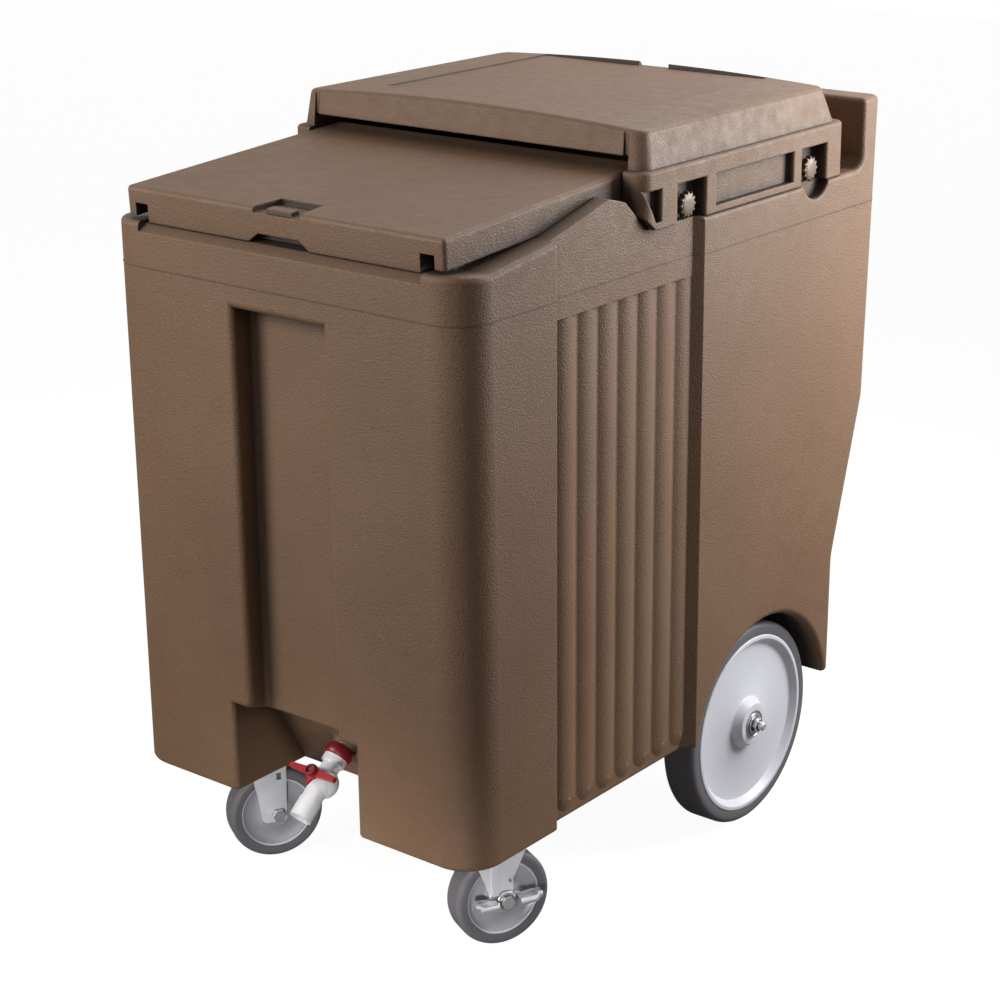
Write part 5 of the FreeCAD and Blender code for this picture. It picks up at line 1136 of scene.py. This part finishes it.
@dataclass
class BrakeLever(Maker):
    """Chromed brake lever with a hub disc and two dished foot pads; shares are of the plate or pad."""

    plate_length: float = 80.0
    plate_height: float = 11.0
    plate_thickness: float = 2.5
    offset: float = 20.8
    plate_cut_shares: tuple[float, ...] = (-0.36, -0.24, -0.15, -0.07, 0.0, 0.07, 0.15, 0.24, 0.36)
    plate_waist_share: float = 0.2
    plate_tip_share: float = 0.3
    waist_growth: float = 1.7
    hub_radius: float = 12.0
    hub_bore: float = 5.4
    hub_height: float = 4.0
    hub_corner: tuple[float, float] = (0.6, 1.2)
    pad_length: float = 28.0
    pad_depth: float = 15.0
    pad_start: float = 13.0
    pad_height: float = 4.2
    lip_drop: float = 6.5
    tip_rise: float = 2.6
    plate_rise: float = 1.04
    tip_share: float = 0.28
    tip_squeeze: float = 0.72
    squeeze_share: float = 0.3
    trough: float = 1.4
    trough_shares: tuple[float, float] = (0.25, 0.7)
    lip_share: float = 0.95
    lip_tuck: float = 1.2
    sheet: float = 1.5
    edge: float = 0.5
    smooth: float = 40.0

    def build(self) -> None:
        """Build the lever in one piece."""
        outward = self.joint_axis("brake_rock")
        place = self.facing(self.centre_of("caster_tyre_right") + outward * self.offset * MM, outward)
        plate = self.make_plate()
        pads = [self.make_pad(side) for side in (1.0, -1.0)]
        fall, draw = self.hub_corner
        hub = turned("lever_hub", [
            (0.0, self.hub_radius), (self.hub_height - fall, self.hub_radius),
            (self.hub_height, self.hub_radius - draw), (self.hub_height, self.hub_bore), (0.0, self.hub_bore),
        ], hollow=True, corners=48)
        lever = joined((*pads, hub, plate), "brake_lever_plate")
        settle(lever, place, self.edge * MM, 2, self.smooth)
        self.hand_over(lever, Slot.STEEL, "brake", "brake_lever")

    def make_plate(self) -> bpy.types.Object:
        """Shape the upright plate: wide at the hub, narrow and raised at its tips.

        Returns:
            The new piece.
        """
        plate = block((self.plate_length, self.plate_height, self.plate_thickness), (0.0, 0.0, 0.0))
        bpy.ops.object.mode_set(mode="EDIT")
        for share in self.plate_cut_shares:
            bpy.ops.mesh.select_all(action="SELECT")
            bpy.ops.mesh.bisect(plane_co=(share * self.plate_length * MM, 0.0, 0.0), plane_no=(1.0, 0.0, 0.0))
        pick(plate, lambda at: abs(at.x) < self.plate_waist_share * self.plate_length * MM)
        bpy.ops.transform.resize(value=(1.0, self.waist_growth, 1.0), center_override=(0.0, 0.0, 0.0))
        pick(plate, lambda at: abs(at.x) > self.plate_tip_share * self.plate_length * MM)
        bpy.ops.transform.translate(value=(0.0, self.plate_rise * MM, 0.0))
        bpy.ops.object.mode_set(mode="OBJECT")
        return plate

    def make_pad(self, side: float) -> bpy.types.Object:
        """Shape one foot pad: a dished tray with a lip along its front.

        Args:
            side: 1 for the wheel's rear side, -1 for its front side.

        Returns:
            The new piece.
        """
        clear_selection()
        bpy.ops.mesh.primitive_grid_add(x_subdivisions=12, y_subdivisions=6, size=1.0)
        pad = bpy.context.object
        middle = side * (self.pad_start + self.pad_length / 2.0) * MM
        bpy.ops.object.mode_set(mode="EDIT")
        bpy.ops.transform.resize(value=(self.pad_length * MM, self.pad_depth * MM, 1.0))
        bpy.ops.transform.rotate(value=math.pi / 2.0, orient_axis="X", center_override=(0.0, 0.0, 0.0))
        bpy.ops.transform.translate(value=(middle, self.pad_height * MM, self.pad_depth / 2.0 * MM))
        edge = self.pad_depth * self.lip_share * MM
        tip = abs(middle) + self.pad_length * self.tip_share * MM
        near, far = (share * edge for share in self.trough_shares)
        pick(pad, lambda at: at.z > edge)
        bpy.ops.transform.translate(value=(0.0, -self.lip_drop * MM, -self.lip_tuck * MM))
        pick(pad, lambda at: near < at.z < far)
        bpy.ops.transform.translate(value=(0.0, -self.trough * MM, 0.0))
        pick(pad, lambda at: abs(at.x) > tip)
        bpy.ops.transform.translate(value=(0.0, self.tip_rise * MM, 0.0))
        bpy.ops.transform.resize(value=(1.0, 1.0, self.tip_squeeze),
                                 center_override=(0.0, 0.0, self.squeeze_share * edge))
        bpy.ops.object.mode_set(mode="OBJECT")
        apply_modifier(pad, "SUBSURF", levels=1, render_levels=1)
        apply_modifier(pad, "SOLIDIFY", thickness=self.sheet * MM, offset=0.0)
        return pad


@dataclass
class ThumbScrews(Maker):
    """Star knobs with deep flutes, on their threaded stems."""

    radius: float = 15.0
    flutes: int = 12
    corners: int = 96
    depth_share: float = 0.84
    rim_share: float = 0.8
    flute_share: float = 0.27
    head_offset: float = 242.0
    rings: tuple[tuple[float, float], ...] = (
        (-40.0, 3.6), (-6.0, 3.8), (-6.0, 6.0), (0.0, 6.0), (0.0, 12.6), (1.4, 15.0), (6.2, 15.0),
        (7.4, 13.4), (7.4, 10.6), (8.0, 9.8), (8.0, 3.0),
    )

    def build(self) -> None:
        """Build the four thumb screws."""
        for end in ("front", "rear"):
            for name, side in (("right", 1.0), ("left", -1.0)):
                node = f"thumb_screw_{end}_{name}"
                centre = self.centre_of(node)
                head = Vector((side * self.head_offset * MM, centre.y, centre.z))
                knob = self.make_knob(f"star_knob_{end}_{name}")
                place = frame_at(head, (side, 0.0, 0.0))
                self.hand_over(settle(knob, place, 0.35 * MM, 2), Slot.KNOB, f"screw_{end}_{name}", node)

    def make_knob(self, name: str) -> bpy.types.Object:
        """Turn one knob and press its flutes in.

        Args:
            name: The piece's name.

        Returns:
            The new piece.
        """
        knob = turned(name, self.rings, corners=self.corners)
        select_only(knob)
        bpy.ops.object.mode_set(mode="EDIT")
        pitch = math.tau / self.flutes

        def in_flute(at: Vector) -> bool:
            """Say whether a point of the rim lies in a flute."""
            turn = math.atan2(at.y, at.x) % pitch
            is_rim = at.xy.length > self.rim_share * self.radius * MM
            return is_rim and abs(turn - pitch / 2.0) < self.flute_share * pitch

        pick(knob, in_flute)
        bpy.ops.transform.resize(value=(self.depth_share, self.depth_share, 1.0),
                                 center_override=(0.0, 0.0, 0.0))
        bpy.ops.object.mode_set(mode="OBJECT")
        return knob


@dataclass
class DrainFittings(Maker):
    """Dark red dome and its boss, the round ball chamber and the handle's socket."""

    dome_start: float = 31.4
    chamber_radius: float = 17.2
    chamber_drop: float = 4.5
    chamber_steps: int = 24
    seam_rise: float = 0.5
    socket: tuple[tuple[float, float], ...] = (
        (26.6, 6.9), (29.4, 6.9), (30.3, 6.0), (30.3, 4.5), (27.3, 3.9),
    )
    dome: tuple[tuple[float, float], ...] = (
        (0.0, 9.2), (0.0, 14.5), (0.8, 15.8), (3.0, 16.8), (6.5, 17.0), (10.0, 16.2), (13.2, 14.2),
        (15.8, 11.0), (17.4, 7.0), (17.9, 3.0),
    )
    boss: tuple[tuple[float, float], ...] = (
        (9.0, 12.6), (14.0, 13.4), (18.0, 15.2), (21.5, 18.6), (24.0, 23.0), (27.0, 25.0), (40.0, 25.0),
    )

    def build(self) -> None:
        """Build the dome, its boss, the chamber and the socket."""
        valve = self.joint_place("valve_turn")
        stem = self.joint_axis("valve_turn")
        back = Vector((0.0, stem.z, -stem.y))
        root = valve + back * self.dome_start * MM
        dome = settle(turned("drain_dome", self.dome), frame_at(root, back), 0.25 * MM, 2, 50.0)
        self.hand_over(dome, Slot.RED, "root", "drain_coupling", finish=self.finishes.dome)
        boss = settle(turned("drain_boss", self.boss), frame_at(root, back), 0.6 * MM, 2, 50.0)
        self.hand_over(boss, Slot.BROWN, "root")
        turns = [math.pi * step / self.chamber_steps for step in range(1, self.chamber_steps)]
        rings = [(-self.chamber_radius * math.cos(turn), self.chamber_radius * math.sin(turn))
                 for turn in turns]
        seam = len(rings) // 2
        rings[seam] = (rings[seam][0], rings[seam][1] + self.seam_rise)
        place = frame_at(valve - stem * self.chamber_drop * MM, stem)
        chamber = settle(turned("valve_chamber", rings, corners=64), place, 0.0, 2, 50.0)
        self.hand_over(chamber, Slot.WHITE, "root")
        socket = turned("handle_socket", self.socket, corners=48)
        settle(socket, frame_at(valve, stem), 0.2 * MM, 2, 50.0)
        self.hand_over(socket, Slot.RED, "valve", "handle_screw", finish=self.finishes.socket)


@dataclass
class MouldLines(Maker):
    """Fine parting line that the mould left all round the body."""

    height: float = 746.0
    bead: float = 0.55
    weld: float = 0.02
    near: float = 0.01

    def build(self) -> None:
        """Cut the body's outline at the line's height and run a bead along it."""
        line = copy_of_node("body_shell", "parting_line")
        select_only(line)
        bpy.ops.object.mode_set(mode="EDIT")
        bpy.ops.mesh.select_all(action="SELECT")
        bpy.ops.mesh.remove_doubles(threshold=self.weld * MM)
        bpy.ops.mesh.bisect(plane_co=(0.0, 0.0, self.height * MM), plane_no=(0.0, 0.0, 1.0),
                            clear_inner=True, clear_outer=True)
        bpy.ops.object.mode_set(mode="OBJECT")
        inner = self.inner_points(line)
        bpy.ops.object.mode_set(mode="EDIT")
        pick(line, lambda at: any((at - point).length < self.near * MM for point in inner))
        bpy.ops.mesh.delete(type="VERT")
        bpy.ops.object.mode_set(mode="OBJECT")
        bpy.ops.object.convert(target="CURVE")
        line = bpy.context.object
        line.data.bevel_depth = self.bead * MM
        line.data.bevel_resolution = 2
        bpy.ops.object.convert(target="MESH")
        line = bpy.context.object
        self.hand_over(settle(line, Matrix.Identity(4)), Slot.BROWN, "root")

    @staticmethod
    def inner_points(line: bpy.types.Object) -> list[Vector]:
        """Find the points of every loop but the one that reaches farthest out.

        Args:
            line: The cut outline.

        Returns:
            The places of the points to leave out.
        """
        links: dict[int, list[int]] = {point.index: [] for point in line.data.vertices}
        for edge in line.data.edges:
            first, second = edge.vertices
            links[first].append(second)
            links[second].append(first)
        loops, seen = [], set()
        for start in links:
            if start in seen:
                continue
            loop, front = {start}, [start]
            while front:
                for neighbour in links[front.pop()]:
                    if neighbour not in loop:
                        loop.add(neighbour)
                        front.append(neighbour)
            seen |= loop
            loops.append(loop)
        points = line.data.vertices
        loops.sort(key=lambda loop: max(points[index].co.length for index in loop))
        return [points[index].co.copy() for loop in loops[:-1] for index in loop]


def save_sizes(name: str, sizes: dict[str, list]) -> None:
    """Keep the present box of the object under a name.

    Args:
        name: Key to keep the box under.
        sizes: Boxes kept so far.
    """
    low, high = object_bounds()
    sizes[name] = [[float(v) for v in low], [float(v) for v in high]]


def main() -> None:
    """Build the studio, the finishes and every added piece."""
    logging.basicConfig(level=logging.INFO, format="%(name)s: %(message)s")
    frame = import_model()
    sizes: dict[str, list] = {}
    save_sizes("cad", sizes)
    Studio().build()
    finishes = Finishes()
    finishes.build()
    finishes.dress_frame(frame)
    LOG.info("dressed %d nodes", len(frame["nodes"]))
    for kind in (MouldLines, ThumbScrews, RearWheels, CasterWheels, CasterForks, BrakeLever, DrainFittings):
        kind(finishes, frame).build()
    save_sizes("visual", sizes)


if __name__ == "__main__":
    main()
